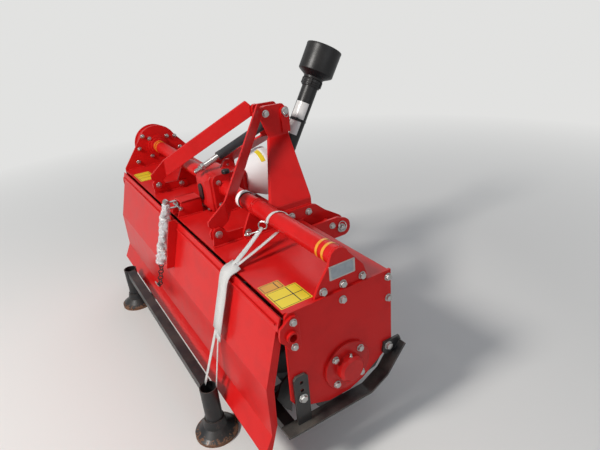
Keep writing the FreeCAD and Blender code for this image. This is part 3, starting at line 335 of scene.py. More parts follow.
def makeMetal(name, color, rough, dustAmount=0.15):
    mat, tree, shader = newMaterial(name)
    g = useGroup(tree, grain, Scale=700, Mottle_Scale=60)
    r = useGroup(tree, roundEdges, Radius=0.0004)
    d = useGroup(tree, dust, Amount=dustAmount)
    dark = tuple(c * 0.55 for c in color)
    body = mixColor(tree, g["Mottle"], (*dark, 1), (*color, 1))
    body = mixColor(tree, d["Mask"], body, dustColor)
    tree.links.new(body, shader.inputs["Base Color"])
    shader.inputs["Metallic"].default_value = 1.0
    tree.links.new(mathNode(tree, "ADD", mathNode(tree, "MULTIPLY", g["Mottle"], 0.25), rough - 0.1), shader.inputs["Roughness"])
    bump = addNode(tree, "Bump", Height=g["Height"], Normal=r["Normal"])
    bump.inputs["Strength"].default_value = 0.12
    bump.inputs["Distance"].default_value = 0.0006
    tree.links.new(bump.outputs[0], shader.inputs["Normal"])
    return mat


def makeWebbing():
    mat, tree, shader = newMaterial("whiteWebbing")
    w = useGroup(tree, weave)
    g = useGroup(tree, grain, Scale=900, Mottle_Scale=25)
    d = useGroup(tree, dust, Amount=0.25)
    # painted shade: the webbing is darker in the hollows between its ribs
    body = mixColor(tree, w["Painted Shade"], (0.80, 0.80, 0.79, 1), (0.52, 0.51, 0.49, 1))
    body = mixColor(tree, mathNode(tree, "MULTIPLY", g["Mottle"], 0.25), body, (0.62, 0.60, 0.56, 1))
    tree.links.new(mixColor(tree, d["Mask"], body, dustColor), shader.inputs["Base Color"])
    shader.inputs["Roughness"].default_value = 0.72
    shader.inputs["Sheen Weight"].default_value = 0.15
    bump = addNode(tree, "Bump", Height=w["Height"])
    bump.inputs["Strength"].default_value = 0.5
    bump.inputs["Distance"].default_value = 0.0005
    tree.links.new(bump.outputs[0], shader.inputs["Normal"])
    return mat


def makeBubbleWrap():  # clear film with round bubbles
    mat, tree, shader = newMaterial("bubbleWrap")
    place = addNode(tree, "TexCoord").outputs["Object"]
    cells = addNode(tree, "TexVoronoi", {"feature": "F1"}, Vector=place, Scale=95.0)
    dome = ramp(tree, cells.outputs["Distance"], 0.5, 0.1)
    creases = addNode(tree, "TexNoise", Vector=place, Scale=60.0, Detail=5.0, Roughness=0.7).outputs["Fac"]
    shader.inputs["Roughness"].default_value = 0.16
    shader.inputs["Base Color"].default_value = (0.90, 0.91, 0.92, 1)
    # The white cover is partly the film whitening along its creases and partly painted highlight on the bubble domes.
    filmWhiteAndPaintedHighlight = mathNode(tree, "ADD", mathNode(tree, "MULTIPLY", dome, 0.30), mathNode(tree, "MULTIPLY", creases, 0.85), clamp=True)
    tree.links.new(filmWhiteAndPaintedHighlight, shader.inputs["Alpha"])
    bump = addNode(tree, "Bump", Height=mathNode(tree, "ADD", dome, creases))
    bump.inputs["Strength"].default_value = 0.9
    bump.inputs["Distance"].default_value = 0.003
    tree.links.new(bump.outputs[0], shader.inputs["Normal"])
    return mat


paint = {name: makePaint(name, f) for name, f in finishes.items()}
paint["zinc"] = makeMetal("zinc", (0.60, 0.60, 0.59), 0.30)
paint["bareSteel"] = makeMetal("bareSteel", (0.45, 0.44, 0.42), 0.38)
paint["silverPlate"] = makeMetal("silverPlate", (0.42, 0.47, 0.52), 0.38, 0.08)
paint["webbing"] = makeWebbing()
paint["bubbleWrap"] = makeBubbleWrap()
slotPaint = {"red_paint": "redPaint", "black_paint": "blackPaint", "stand_paint": "standPaint", "tine_steel": "tineSteel",
             "white_plastic": "whitePlastic", "black_plastic": "blackPlastic", "grey_plastic": "greyPlastic",
             "zinc_steel": "zinc", "bare_steel": "bareSteel", "white_webbing": "webbing"}
castNodes = ("gearbox", "bearing_housing", "drive_case")
for sub in frame["record"]["subparts"]:
    node = frame["nodes"][sub["node"]]
    finishName = "castRed" if sub["node"] in castNodes else slotPaint[sub["material_slot"]]
    for i in range(len(node.material_slots)):
        node.material_slots[i].material = paint[finishName]
print("materials on the carried-over nodes")


# ---- shapes that the small pieces share, in mm

def turnTo(way):  # stands +Z along a direction
    return Vector(way).normalized().to_track_quat("Z", "Y").to_matrix().to_4x4()


def finish(name, bm, material, body="frame", smooth=35):
    bmesh.ops.recalc_face_normals(bm, faces=bm.faces)
    mesh = bpy.data.meshes.new(name)
    bm.to_mesh(mesh)
    bm.free()
    mesh.shade_smooth()
    mesh.set_sharp_from_angle(angle=math.radians(smooth))
    mesh.materials.append(paint[material])
    obj = bpy.data.objects.new(name, mesh)
    bpy.context.collection.objects.link(obj)
    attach(obj, body)
    return obj


def addRound(bm, place, way, radius, height, segments=24, soft=0.6, tip=None):  # a disc or stub that stands on its place
    known = set(bm.verts)
    made = bmesh.ops.create_cone(bm, cap_ends=True, segments=segments, radius1=radius / 1000,
                                 radius2=(radius if tip is None else tip) / 1000, depth=height / 1000)["verts"]
    bmesh.ops.translate(bm, verts=made, vec=(0, 0, height / 2000))
    if soft:
        rim = list({e for v in made for e in v.link_edges if all(u.co.z > height / 1500 for u in e.verts)})
        bmesh.ops.bevel(bm, geom=rim, offset=soft / 1000, affect="EDGES", segments=2, profile=0.5, material=-1)
    fresh = [v for v in bm.verts if v not in known]
    bmesh.ops.transform(bm, matrix=Matrix.Translation(place) @ turnTo(way), verts=fresh)


def addBolt(bm, place, way, size=11.0, washer=1.2, turn=0.0):  # washer and hexagon head
    way = Vector(way).normalized()
    if washer:
        addRound(bm, place, way, size * washer, size * 0.22, 20, 0.3)
        place = place + way * (size * 0.22 / 1000)
    known = set(bm.verts)
    addRound(bm, Vector(), (0, 0, 1), size, size * 0.68, 6, size * 0.06)
    fresh = [v for v in bm.verts if v not in known]
    bmesh.ops.rotate(bm, verts=fresh, cent=(0, 0, 0), matrix=Matrix.Rotation(math.radians(turn), 3, "Z"))
    bmesh.ops.transform(bm, matrix=Matrix.Translation(place) @ turnTo(way), verts=fresh)


def addNut(bm, place, way, size=11.0, shank=5.0):  # a nut with the threaded end standing out of it
    addBolt(bm, place, way, size, 1.2, 17)
    addRound(bm, place + Vector(way).normalized() * (size * 0.9 / 1000), way, size * 0.52, shank, 14, 1.0)


def addRing(bm, place, way, radius, wire, segments=28, start=0, sweep=360, long=0):  # a round wire bent to a ring or part of one
    known = set(bm.verts)
    made = bmesh.ops.create_circle(bm, segments=8, radius=wire / 1000)["verts"]
    bmesh.ops.rotate(bm, verts=made, cent=(0, 0, 0), matrix=Matrix.Rotation(math.pi / 2, 3, "X"))
    bmesh.ops.translate(bm, verts=made, vec=(radius / 1000, 0, 0))
    bmesh.ops.rotate(bm, verts=made, cent=(0, 0, 0), matrix=Matrix.Rotation(math.radians(start), 3, "Z"))
    edges = list({e for v in made for e in v.link_edges})
    bmesh.ops.spin(bm, geom=edges, cent=(0, 0, 0), axis=(0, 0, 1), angle=math.radians(sweep), steps=segments,
                   use_merge=sweep == 360)
    fresh = [v for v in bm.verts if v not in known]
    if sweep != 360:
        ends = [e for v in fresh for e in v.link_edges if e.is_boundary]
        bmesh.ops.holes_fill(bm, edges=list(set(ends)), sides=8)
    for v in fresh:
        v.co.x += math.copysign(long / 2000, v.co.x)
    bmesh.ops.transform(bm, matrix=Matrix.Translation(place) @ turnTo(way), verts=fresh)


def addBand(bm, place, way, radius, width, thick, start=0, sweep=360, steps=40):  # a flat band round an axis
    known = set(bm.verts)
    a = bm.verts.new((radius / 1000, 0, -width / 2000))
    b = bm.verts.new((radius / 1000, 0, width / 2000))
    edge = bm.edges.new((a, b))
    bmesh.ops.rotate(bm, verts=[a, b], cent=(0, 0, 0), matrix=Matrix.Rotation(math.radians(start), 3, "Z"))
    bmesh.ops.spin(bm, geom=[edge], cent=(0, 0, 0), axis=(0, 0, 1), angle=math.radians(sweep), steps=steps,
                   use_merge=sweep == 360)
    fresh = [v for v in bm.verts if v not in known]
    faces = list({f for v in fresh for f in v.link_faces})
    bmesh.ops.recalc_face_normals(bm, faces=faces)
    if sum(f.normal.dot(f.calc_center_median()) for f in faces) > 0:
        bmesh.ops.reverse_faces(bm, faces=faces)
    bmesh.ops.solidify(bm, geom=faces, thickness=thick / 1000)
    fresh = [v for v in bm.verts if v not in known]
    bmesh.ops.transform(bm, matrix=Matrix.Translation(place) @ turnTo(way), verts=fresh)


def addSlab(bm, place, way, side, size, corner=2.0, soft=0.4):  # a plate that lies on its place: side is its long way
    way, side = Vector(way).normalized(), Vector(side).normalized()
    basis = Matrix((side, way.cross(side), way)).transposed().to_4x4()
    known = set(bm.verts)
    made = bmesh.ops.create_cube(bm, size=1)["verts"]
    bmesh.ops.scale(bm, verts=made, vec=[s / 1000 for s in size])
    bmesh.ops.translate(bm, verts=made, vec=(0, 0, size[2] / 2000))
    upright = list({e for v in made for e in v.link_edges if abs(e.verts[0].co.z - e.verts[1].co.z) > 1e-6})
    if corner:
        bmesh.ops.bevel(bm, geom=upright, offset=corner / 1000, affect="EDGES", segments=4, profile=0.5, material=-1)
    fresh = [v for v in bm.verts if v not in known]
    if soft:
        rim = list({e for v in fresh for e in v.link_edges if all(u.co.z > size[2] / 1200 for u in e.verts)})
        bmesh.ops.bevel(bm, geom=rim, offset=soft / 1000, affect="EDGES", segments=1, profile=0.5, material=-1)
    fresh = [v for v in bm.verts if v not in known]
    bmesh.ops.transform(bm, matrix=Matrix.Translation(place) @ basis, verts=fresh)


def addRipple(bm, start, end, radius, pitch, depth, segments=10):  # a round run whose radius rises and falls: beads, threads
    start, end = Vector(start), Vector(end)
    length = (end - start).length
    steps = max(2, round(length * 1000 / pitch) * 2)
    known = set(bm.verts)
    ring = bmesh.ops.create_circle(bm, cap_ends=True, segments=segments, radius=radius / 1000)["verts"]
    edges = list({e for v in ring for e in v.link_edges})
    for n in range(steps):
        grown = bmesh.ops.extrude_edge_only(bm, edges=edges)["geom"]
        ring = [g for g in grown if isinstance(g, bmesh.types.BMVert)]
        edges = [g for g in grown if isinstance(g, bmesh.types.BMEdge) and all(v in ring for v in g.verts)]
        bmesh.ops.translate(bm, verts=ring, vec=(0, 0, length / steps))
        factor = (1 + depth) if n % 2 == 0 else 1 / (1 + depth)
        for v in ring:
            v.co.x *= factor
            v.co.y *= factor
    bmesh.ops.holes_fill(bm, edges=edges, sides=segments)
    fresh = [v for v in bm.verts if v not in known]
    bmesh.ops.transform(bm, matrix=Matrix.Translation(start) @ turnTo(end - start), verts=fresh)


def addTurned(bm, place, way, profile, steps=48):  # (along, radius) points of a closed outline, turned about an axis
    known = set(bm.verts)
    corners = [bm.verts.new((r / 1000, 0, s / 1000)) for s, r in profile]
    edges = [bm.edges.new((corners[n - 1], corners[n])) for n in range(len(corners))]
    bmesh.ops.spin(bm, geom=corners + edges, cent=(0, 0, 0), axis=(0, 0, 1), angle=math.tau, steps=steps, use_merge=True)
    fresh = [v for v in bm.verts if v not in known]
    bmesh.ops.transform(bm, matrix=Matrix.Translation(place) @ turnTo(way), verts=fresh)


def addPlate(bm, outline, x, thick, soft=0.8):  # a flat plate square to X, from its (y, z) outline
    known = set(bm.verts)
    face = bm.faces.new([bm.verts.new(at(x, y, z)) for y, z in outline])
    grown = bmesh.ops.extrude_face_region(bm, geom=[face], use_keep_orig=True)["geom"]
    far = [g for g in grown if isinstance(g, bmesh.types.BMVert)]
    bmesh.ops.translate(bm, verts=far, vec=(thick / 1000, 0, 0))
    fresh = [v for v in bm.verts if v not in known]
    faces = list({f for v in fresh for f in v.link_faces})
    bmesh.ops.recalc_face_normals(bm, faces=faces)
    if soft:
        edges = list({e for v in fresh for e in v.link_edges})
        bmesh.ops.bevel(bm, geom=edges, offset=soft / 1000, affect="EDGES", segments=2, profile=0.5, material=-1)


def weldRound(bm, x, radius, side, bead=3.0):  # a bead round a cross tube, beside a plate's face
    known = set(bm.verts)
    addRing(bm, at(x + side * 1.0, 2, 674), (1, 0, 0), radius + 0.5, bead, 64)
    middle = at(x, 2, 674)
    for v in bm.verts:
        if v not in known:
            out = v.co - middle
            swell = 1 + 0.035 * math.sin(math.atan2(out.z, out.y) * 26)
            v.co = middle + Vector((out.x * swell, out.y * swell, out.z * swell))


sides = ((1, "Right", 800), (-1, "Left", 793))


# ---- side plates: bolts, data plate, bearing and skids
boltPlaces = {
    "ear": dict(x=792, spots=[(-57, 594), (8, 594), (74, 594)], size=10),
    "plate": dict(x=800, spots=[(-1, 551), (160, 559), (161, 488)], size=10),
    "leftPlate": dict(x=-785, spots=[(-34, 715), (56, 712), (-37, 626), (-93, 675), (-112, 610), (97, 705), (-66, 734),
                                     (114, 643)], size=9),
}


def addSidePlateBolts():
    bm = bmesh.new()
    for kind in ("ear", "plate"):
        for n, (y, z) in enumerate(boltPlaces[kind]["spots"]):
            addBolt(bm, at(boltPlaces[kind]["x"], y, z), (1, 0, 0), boltPlaces[kind]["size"], turn=20 * n)
    for n, (y, z) in enumerate(boltPlaces["leftPlate"]["spots"]):
        addNut(bm, at(-785, y, z), (1, 0, 0), boltPlaces["leftPlate"]["size"], 4)
    for n, (y, z) in enumerate(((160, 559), (161, 488), (-1, 551))):
        addBolt(bm, at(-793, y, z), (-1, 0, 0), 10, turn=13 * n)
    finish("sidePlateBolts", bm, "zinc")
    bm = bmesh.new()
    for sign, name, face in sides:
        for y, z in ((-164, 555), (-167, 479)):
            addBolt(bm, at(sign * (face + 8), y, z), (sign, 0, 0), 9)
        for y, z in ((153, 322), (-158, 296)):
            addBolt(bm, at(sign * (face + 8), y, z), (sign, 0, 0), 11, 1.25)
    finish("skidBolts", bm, "zinc")


def addBearingBolts():
    bm = bmesh.new()
    for y, z in ((44, 44), (44, -44), (-44, 44), (-44, -44)):
        addBolt(bm, at(810, y, 326 + z), (1, 0, 0), 9.5, turn=y)
    finish("bearingBolts", bm, "zinc")
    bm = bmesh.new()
    addRound(bm, at(824, 0, 326 + 41), (0, 0, 1), 5, 5, 6, 0.4)
    addRound(bm, at(824, 0, 326 + 46), (0, 0, 1), 3.2, 5, 12, 0.8)
    addRound(bm, at(824, 0, 326 + 50), (0, 0, 1), 3.8, 3, 12, 1.2)
    finish("bearingNipple", bm, "zinc")


dataPlate = {"middle": (792, 9, 638), "size": (85, 43, 0.9), "rivets": (36, 14)}


def addDataPlate():  # bare aluminium plate with four rivets
    bm = bmesh.new()
    x, y, z = dataPlate["middle"]
    addSlab(bm, at(x, y, z), (1, 0, 0), (0, 1, 0), dataPlate["size"], 3, 0.2)
    for dy in (-1, 1):
        for dz in (-1, 1):
            addRound(bm, at(x + 0.9, y + dy * dataPlate["rivets"][0], z + dz * dataPlate["rivets"][1]), (1, 0, 0), 2.2, 1.2, 12, 0.5)
    finish("dataPlate", bm, "zinc")
    bm = bmesh.new()
    addSlab(bm, at(x + 0.9, y, z), (1, 0, 0), (0, 1, 0), (dataPlate["size"][0] - 12, dataPlate["size"][1] - 8, 0.15), 2, 0)
    finish("dataPlateField", bm, "silverPlate")


signs = [  # middle, size, finish, rows of panels (share of the depth, how many): blank sheets on the deck
    ("signRight", (730, -127, 580), (91, 98), "yellowSign", [(0.34, 2), (0.66, 2)]),
    ("signRightSide", (662, -143, 580), (43, 66), "amberSign", [(0.25, 1), (0.75, 1)]),
    ("signLeft", (-619, -134, 580), (140, 74), "yellowSign", [(1.0, 3)]),
]


def addSigns():  # a thin black line round each bare panel
    for name, (x, y, z), (wide, deep), color, rows in signs:
        bm = bmesh.new()
        addSlab(bm, at(x, y, z), (0, 0, 1), (1, 0, 0), (wide, deep, 0.30), 3, 0)
        obj = finish(name, bm, color)
        lines = bmesh.new()
        addSlab(lines, at(x, y, z + 0.30), (0, 0, 1), (1, 0, 0), (wide - 7, deep - 7, 0.12), 1, 0)
        finish(name + "Lines", lines, "blackPlastic")
        bm = bmesh.new()
        back = y + (deep - 7) / 2
        for share, count in rows:
            tall, across = (deep - 7) * share, (wide - 7) / count
            for n in range(count):
                place = at(x - (wide - 7) / 2 + across * (n + 0.5), back - tall / 2, z + 0.42)
                addSlab(bm, place, (0, 0, 1), (1, 0, 0), (across - 3, tall - 3, 0.12), 1, 0)
            back -= tall
        finish(name + "Panels", bm, color)


addSidePlateBolts()
addBearingBolts()
addDataPlate()
addSigns()
print("side plate details")


# ---- cross tubes: weld beads, orange bands and the clip beside the right stay
def addTubeDetails():
    bm = bmesh.new()
    for x, side in ((80, 1), (-80, -1), (784, -1), (340, 1), (330, -1), (-340, -1), (-330, 1)):
        weldRound(bm, x, 28.5, side)
    weldRound(bm, -763, 28.5, 1)
    finish("tubeWelds", bm, "redPaint", smooth=60)
    bm = bmesh.new()
    for x in (723, 751, -723, -751):
        addBand(bm, at(x, 2, 674), (1, 0, 0), 28.7, 10, 0.6)
    finish("tubeBands", bm, "orangeBand")
    bm = bmesh.new()
    addBand(bm, at(234, 2, 674), (1, 0, 0), 28.7, 20, 3.2, -20, 250)
    finish("tubeClip", bm, "whitePlastic")
    bm = bmesh.new()
    addBand(bm, at(247, 2, 674), (1, 0, 0), 28.7, 4, 2.4, -20, 250)
    finish("tubeClipSeal", bm, "blackPlastic")


def weldRun(bm, a, b, bead=3.2):
    addRipple(bm, at(*a), at(*b), bead, 5, 0.07)


def addFrameWelds():
    bm = bmesh.new()
    for sign, name, face in sides:
        x = sign * 329
        weldRun(bm, (x, 92, 627.5), (x, 213, 627.5))
        weldRun(bm, (sign * 341.5, -64, 581.5), (sign * 341.5, 170, 581.5))
        weldRun(bm, (sign * 331.5, -172, 581.5), (sign * 331.5, -68, 581.5))
        weldRun(bm, (sign * 320.5, -172, 581.5), (sign * 320.5, -22, 581.5), 2.6)
        weldRun(bm, (sign * (face + 0.5), -146, 555), (sign * (face + 0.5), -146, 478), 2.6)
        weldRun(bm, (sign * 341.5, 173.5, 500), (sign * 341.5, 173.5, 566), 2.6)
    for x in (-60, 60):
        weldRun(bm, (x * 1.36, -48, 581.5), (x * 1.36, 52, 581.5))
    weldRun(bm, (-40, -53, 581.5), (40, -53, 581.5))
    weldRun(bm, (783, -85, 581.5), (783, 90, 581.5), 2.6)
    weldRun(bm, (-784, -165, 581.5), (-784, 165, 581.5), 2.6)
    finish("frameWelds", bm, "redPaint", smooth=60)


addTubeDetails()
addFrameWelds()


def addGateFold():  # the rounded fold along the tailgate under its top strip
    bm = bmesh.new()
    for start, end in ((-776, -90), (38, 783)):
        addRound(bm, at(start, -203.6, 552), (1, 0, 0), 3.2, end - start, 16, 1)
    finish("tailgateFold", bm, "redPaint", "tailgate")


addGateFold()
print("welds, bands and fold")


# ---- gearbox, stays, mast head and lower hitch
def addGearboxDetails():
    bm = bmesh.new()
    for sign in (1, -1):
        for n, (y, z) in enumerate(((-28, 703), (-30, 615), (32, 703), (34, 615))):
            addBolt(bm, at(sign * 80, y, z), (sign, 0, 0), 8.5, 1.15, 25 * n)
    for n, (x, z) in enumerate(((-30, 592), (30, 592))):
        addBolt(bm, at(x, -63, z), (0, -1, 0), 7, 1.15, 25 * n)
    finish("gearboxBolts", bm, "zinc")
    bm = bmesh.new()
    for n in range(6):
        turn = math.radians(60 * n + 30)
        addBolt(bm, at(55 * math.cos(turn), 107, 674 + 55 * math.sin(turn)), (0, 1, 0), 6.5, 1.2, 20 * n)
    finish("guardBolts", bm, "zinc")
    bm = bmesh.new()  # ribbed breather cap at the foot of the lifting lug
    addTurned(bm, at(76, 8, 732), (0, 0, 1), [(0, 2), (0, 15), (3, 15.6), (4, 12.6), (5, 15.6), (8, 15.6), (9, 12.6), (10, 15.2),
                                              (13, 13.5), (15, 9), (15, 2)], 32)
    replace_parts(finish("breatherCap", bm, "blackPlastic"), "gearbox_breather")
    bm = bmesh.new()
    addBand(bm, at(0, 174, 674), (0, 1, 0), 92.4, 16, 0.5, 96, 42, 12)
    for v in bm.verts:  # lies on the guard's cone
        flare = 1 + (v.co.y - at(0, 174, 674).y) * 1000 * (34 / 86) / 92.4
        v.co.x, v.co.z = at(0, 0, 0).x + (v.co.x - at(0, 0, 0).x) * flare, at(0, 0, 674).z + (v.co.z - at(0, 0, 674).z) * flare
    finish("guardSticker", bm, "yellowSign")


def addStayBolts():
    bm = bmesh.new()
    for sign, name, face in sides:
        addBolt(bm, at(sign * 330, -149, 621), (sign, 0, 0), 11)
        addNut(bm, at(sign * 314, -149, 621), (-sign, 0, 0), 11)
        addBolt(bm, at(sign * 340, -49, 601), (sign, 0, 0), 10, turn=15)
        addNut(bm, at(sign * 321, -49, 601), (-sign, 0, 0), 10, 3)
        for y, z in ((123, 606), (194, 603)):
            addBolt(bm, at(sign * 340, y, z), (sign, 0, 0), 11, turn=y)
            addNut(bm, at(sign * 320, y, z), (-sign, 0, 0), 11)
        addBolt(bm, at(sign * 386, 262, 541), (sign, 0, 0), 10, turn=10)
        addBolt(bm, at(sign * 45, 218, 910), (sign, 0, 0), 12, turn=8)
        addNut(bm, at(sign * 27, 218, 910), (-sign, 0, 0), 11, 3)
    finish("stayBolts", bm, "zinc")
    bm = bmesh.new()
    for sign, name, face in sides:
        addBand(bm, at(sign * 358, 262, 541), (1, 0, 0), 11, 35, 3, steps=20)
    finish("hitchSpacers", bm, "redPaint")


def addPinDetails():
    bm = bmesh.new()
    addRound(bm, at(45, 304, 906), (1, 0, 0), 16, 4, 28, 1)
    addRound(bm, at(-45, 304, 906), (-1, 0, 0), 16, 4, 28, 1)
    addRing(bm, at(53, 304, 896), (1, 0.3, 0.2), 12, 1.6, 28)
    addRound(bm, at(53, 304, 918), (0, 0, -1), 2, 24, 12, 0.4)
    for sign, name, face in sides:
        addRound(bm, at(sign * 386, 302, 520), (sign, 0, 0), 17, 3, 28, 0.8)
        addRound(bm, at(sign * 322, 302, 520), (-sign, 0, 0), 16, 6, 28, 1.2)
        addRound(bm, at(sign * 394, 302, 534), (0, 0, -1), 2.4, 27, 12, 0.5)
        addRing(bm, at(sign * 396, 302, 531), (sign, 0.1, 0.45), 17, 1.8, 30)
    finish("pinClips", bm, "zinc")


def onLink(s, x=0.0, lift=0.0):  # mm along the tailgate link from its cross bolt
    fall = math.radians(21)
    return at(x, 276 - s * math.cos(fall) - lift * math.sin(fall), 877 - s * math.sin(fall) + lift * math.cos(fall))


def addLinkDetails():
    bm = bmesh.new()
    addRipple(bm, onLink(276), onLink(342), 11.2, 4.0, 0.10, 14)
    addRound(bm, onLink(343), onLink(1) - onLink(0), 15, 12, 6, 1)
    addRound(bm, onLink(358), onLink(1) - onLink(0), 13, 4, 20, 0.6)
    addRound(bm, onLink(380.5), onLink(1) - onLink(0), 7, 6, 16, 1)
    finish("linkThread", bm, "zinc", smooth=50)
    bm = bmesh.new()
    addBand(bm, onLink((34 + 278) / 2), onLink(1) - onLink(0), 11.6, 244, 5.4, steps=36)
    for s in (37, 45, 53, 261, 269, 275):
        addBand(bm, onLink(s), onLink(1) - onLink(0), 16.8, 4, 1.1, steps=36)
    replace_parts(finish("linkBoot", bm, "greyPlastic"), "link_sleeve")


addGearboxDetails()
addStayBolts()
addPinDetails()
addLinkDetails()
print("gearbox, mast and hitch fasteners")


# ---- driveline: labels, tie, bell rim and locking collar
lean = math.radians(30.5)


def onLine(s):  # mm along the driveline from its joint
    return at(0, 285 + s * math.sin(lean), 672 + s * math.cos(lean))


lineLabels = [("lineLabelUpper", 207, 275, -6, 100), ("lineLabelLower", 140, 196, 4, 96)]  # along, along, degrees, degrees


bellProfile = [(374, 33.6), (374, 40), (382, 41), (386, 46), (399, 68), (402, 71.5), (405, 72.2), (470, 72.8), (496, 73),
               (503, 73.8), (506, 73), (506, 70), (499, 69.4), (406, 69), (400, 64), (388, 43), (384, 37), (380, 33.6)]
collarProfile = [(343, 33.3), (343, 37), (345, 38), (350, 38), (351, 36.5), (353, 38), (358, 38), (359, 36.5), (361, 38),
                 (371, 38), (373, 37), (373, 33.3)]


def addDrivelineDetails():
    lineWay = onLine(1) - onLine(0)
    turned = turnTo(lineWay)
    rear = (turned.inverted() @ Vector((0, -math.cos(lean), math.sin(lean))))
    side = (turned.inverted() @ Vector((1, 0, 0)))
    startAt = math.degrees(math.atan2(side.y, side.x))
    way = 1 if side.cross(rear).z > 0 else -1
    for name, low, high, a, b in lineLabels:
        bm = bmesh.new()
        first, last = sorted((startAt + way * a, startAt + way * b))
        addBand(bm, onLine((low + high) / 2), lineWay, 33.1, high - low, 0.3, first, last - first, 16)
        finish(name, bm, "whiteLabel")
    bm = bmesh.new()
    addBand(bm, onLine(202), lineWay, 33.2, 5, 1.6)
    addSlab(bm, onLine(202) + Vector((0.024, -0.018, 0.011)), (0.79, -0.45, 0.42), lineWay, (10, 9, 9), 1, 0.6)
    addRipple(bm, onLine(202) + Vector((0.028, -0.022, 0.013)), onLine(202) + Vector((0.036, -0.062, 0.030)), 1.8, 8, 0.01, 8)
    finish("lineTie", bm, "blackPlastic")
    bm = bmesh.new()  # short wide bell over a dark step, and its clipped collar
    addTurned(bm, onLine(0), lineWay, bellProfile, 72)
    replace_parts(finish("bellShell", bm, "blackPlastic"), "driveline_bell")
    bm = bmesh.new()
    addTurned(bm, onLine(0), lineWay, collarProfile, 56)
    for n in range(4):
        turn = Matrix.Rotation(math.radians(45 + 90 * n), 3, lineWay)
        out = turn @ Vector((1, 0, 0))
        addSlab(bm, onLine(361) + out * 0.0375, out, lineWay, (26, 13, 5), 2, 1.2)
    finish("bellCollar", bm, "blackPlastic")
    bm = bmesh.new()
    addBand(bm, onLine(46), lineWay, 33, 14, 4.5, steps=48)
    addBand(bm, onLine(64), lineWay, 33, 6, 2.2, steps=48)
    finish("shieldFoot", bm, "blackPlastic")
    bm = bmesh.new()
    for sign in (1, -1):
        addBand(bm, at(sign * 37, 285, 672), (1, 0, 0), 9, 3, 4, steps=24)
        addRing(bm, at(sign * 36.4, 285, 672), (sign, 0, 0), 11.5, 1.0, 24, 20, 320)
    addRound(bm, at(0, 238, 698), (0, 0, 1), 3.4, 8, 12, 0.8)
    finish("jointCaps", bm, "bareSteel")


addDrivelineDetails()
print("driveline details")


# ---- tailgate rod in bubble wrap, with its chain
wrapLine = [(-26, -207, 640), (-26, -216, 612), (-26, -227, 575), (-27, -242, 520), (-28, -255, 470), (-28, -266, 430), (-28, -273, 402)]
wrap = {"radius": 17.5, "rings": 60, "segments": 32}


def onWrap(t):  # a place on the wrapped rod, 0 at its top and 1 at its foot, with the way it runs
    t = min(max(t, 0.0), 0.9999) * (len(wrapLine) - 1)
    n = int(t)
    a, b = at(*wrapLine[n]), at(*wrapLine[n + 1])
    return a + (b - a) * (t - n), (b - a).normalized()


def addWrap():  # film wound loosely round the rod, with a bulge at its foot
    bm = bmesh.new()
    made = bmesh.ops.create_circle(bm, segments=wrap["segments"], radius=wrap["radius"] / 1000)["verts"]
    edges = list({e for v in made for e in v.link_edges})
    for n in range(wrap["rings"]):
        grown = bmesh.ops.extrude_edge_only(bm, edges=edges)["geom"]
        ring = [g for g in grown if isinstance(g, bmesh.types.BMVert)]
        edges = [g for g in grown if isinstance(g, bmesh.types.BMEdge) and all(v in ring for v in g.verts)]
        bmesh.ops.translate(bm, verts=ring, vec=(0, 0, 1 / wrap["rings"]))
    across = Vector((1, 0, 0))
    for v in bm.verts:
        turn, t = math.atan2(v.co.y, v.co.x), v.co.z
        swell = 1 + 0.13 * math.sin(turn * 2 + t * 17) + 0.10 * math.sin(turn * 5 - t * 31) + 0.06 * math.sin(turn * 3 + t * 70)
        swell *= 0.82 + 0.30 * math.sin(min(t * 2.2, 1.57)) + (0.22 if 0.80 < t < 0.95 else 0.0) - (0.2 if t > 0.975 or t < 0.02 else 0.0)
        place, way = onWrap(t)
        v.co = place + across * (v.co.x * swell) + across.cross(way) * (v.co.y * swell)
    obj = finish("rodWrap", bm, "bubbleWrap", "tailgate", 80)
    skin = obj.modifiers.new("film", "SOLIDIFY")
    skin.thickness = 0.0006
    bm = bmesh.new()
    for t, size in ((0.30, 17.5), (0.70, 20)):
        place, way = onWrap(t)
        addBand(bm, place, way, size, 7, 0.6)
    finish("wrapTape", bm, "whiteLabel", "tailgate")


bracket = {"left": -66, "right": 6, "thick": 5, "side": [(-184, 580.5), (-160, 640), (-80, 640), (-80, 580.5)]}


def addRodBracket():  # bent bracket on the deck that the rod hangs from
    bm = bmesh.new()
    addPlate(bm, bracket["side"], bracket["right"] - bracket["thick"], bracket["thick"])
    addPlate(bm, bracket["side"], bracket["left"], bracket["thick"])
    addSlab(bm, at(-30, -120, 635), (0, 0, 1), (1, 0, 0), (72, 80, 5), 0, 0.8)
    finish("rodBracket", bm, "redPaint")
    bm = bmesh.new()
    for x in (bracket["left"] - 1, bracket["right"] + 1):
        weldRun(bm, (x, -182, 581.5), (x, -82, 581.5), 2.6)
    finish("rodBracketWelds", bm, "redPaint", smooth=60)
    bm = bmesh.new()
    addRound(bm, at(-72, -166, 616), (1, 0, 0), 5, 86, 16, 0.8)
    addBolt(bm, at(6, -166, 616), (1, 0, 0), 7, 1.2)
    addRing(bm, at(-26, -184, 629), (1, 0, 0.1), 12, 4, 28, long=14)
    finish("rodShackle", bm, "zinc")


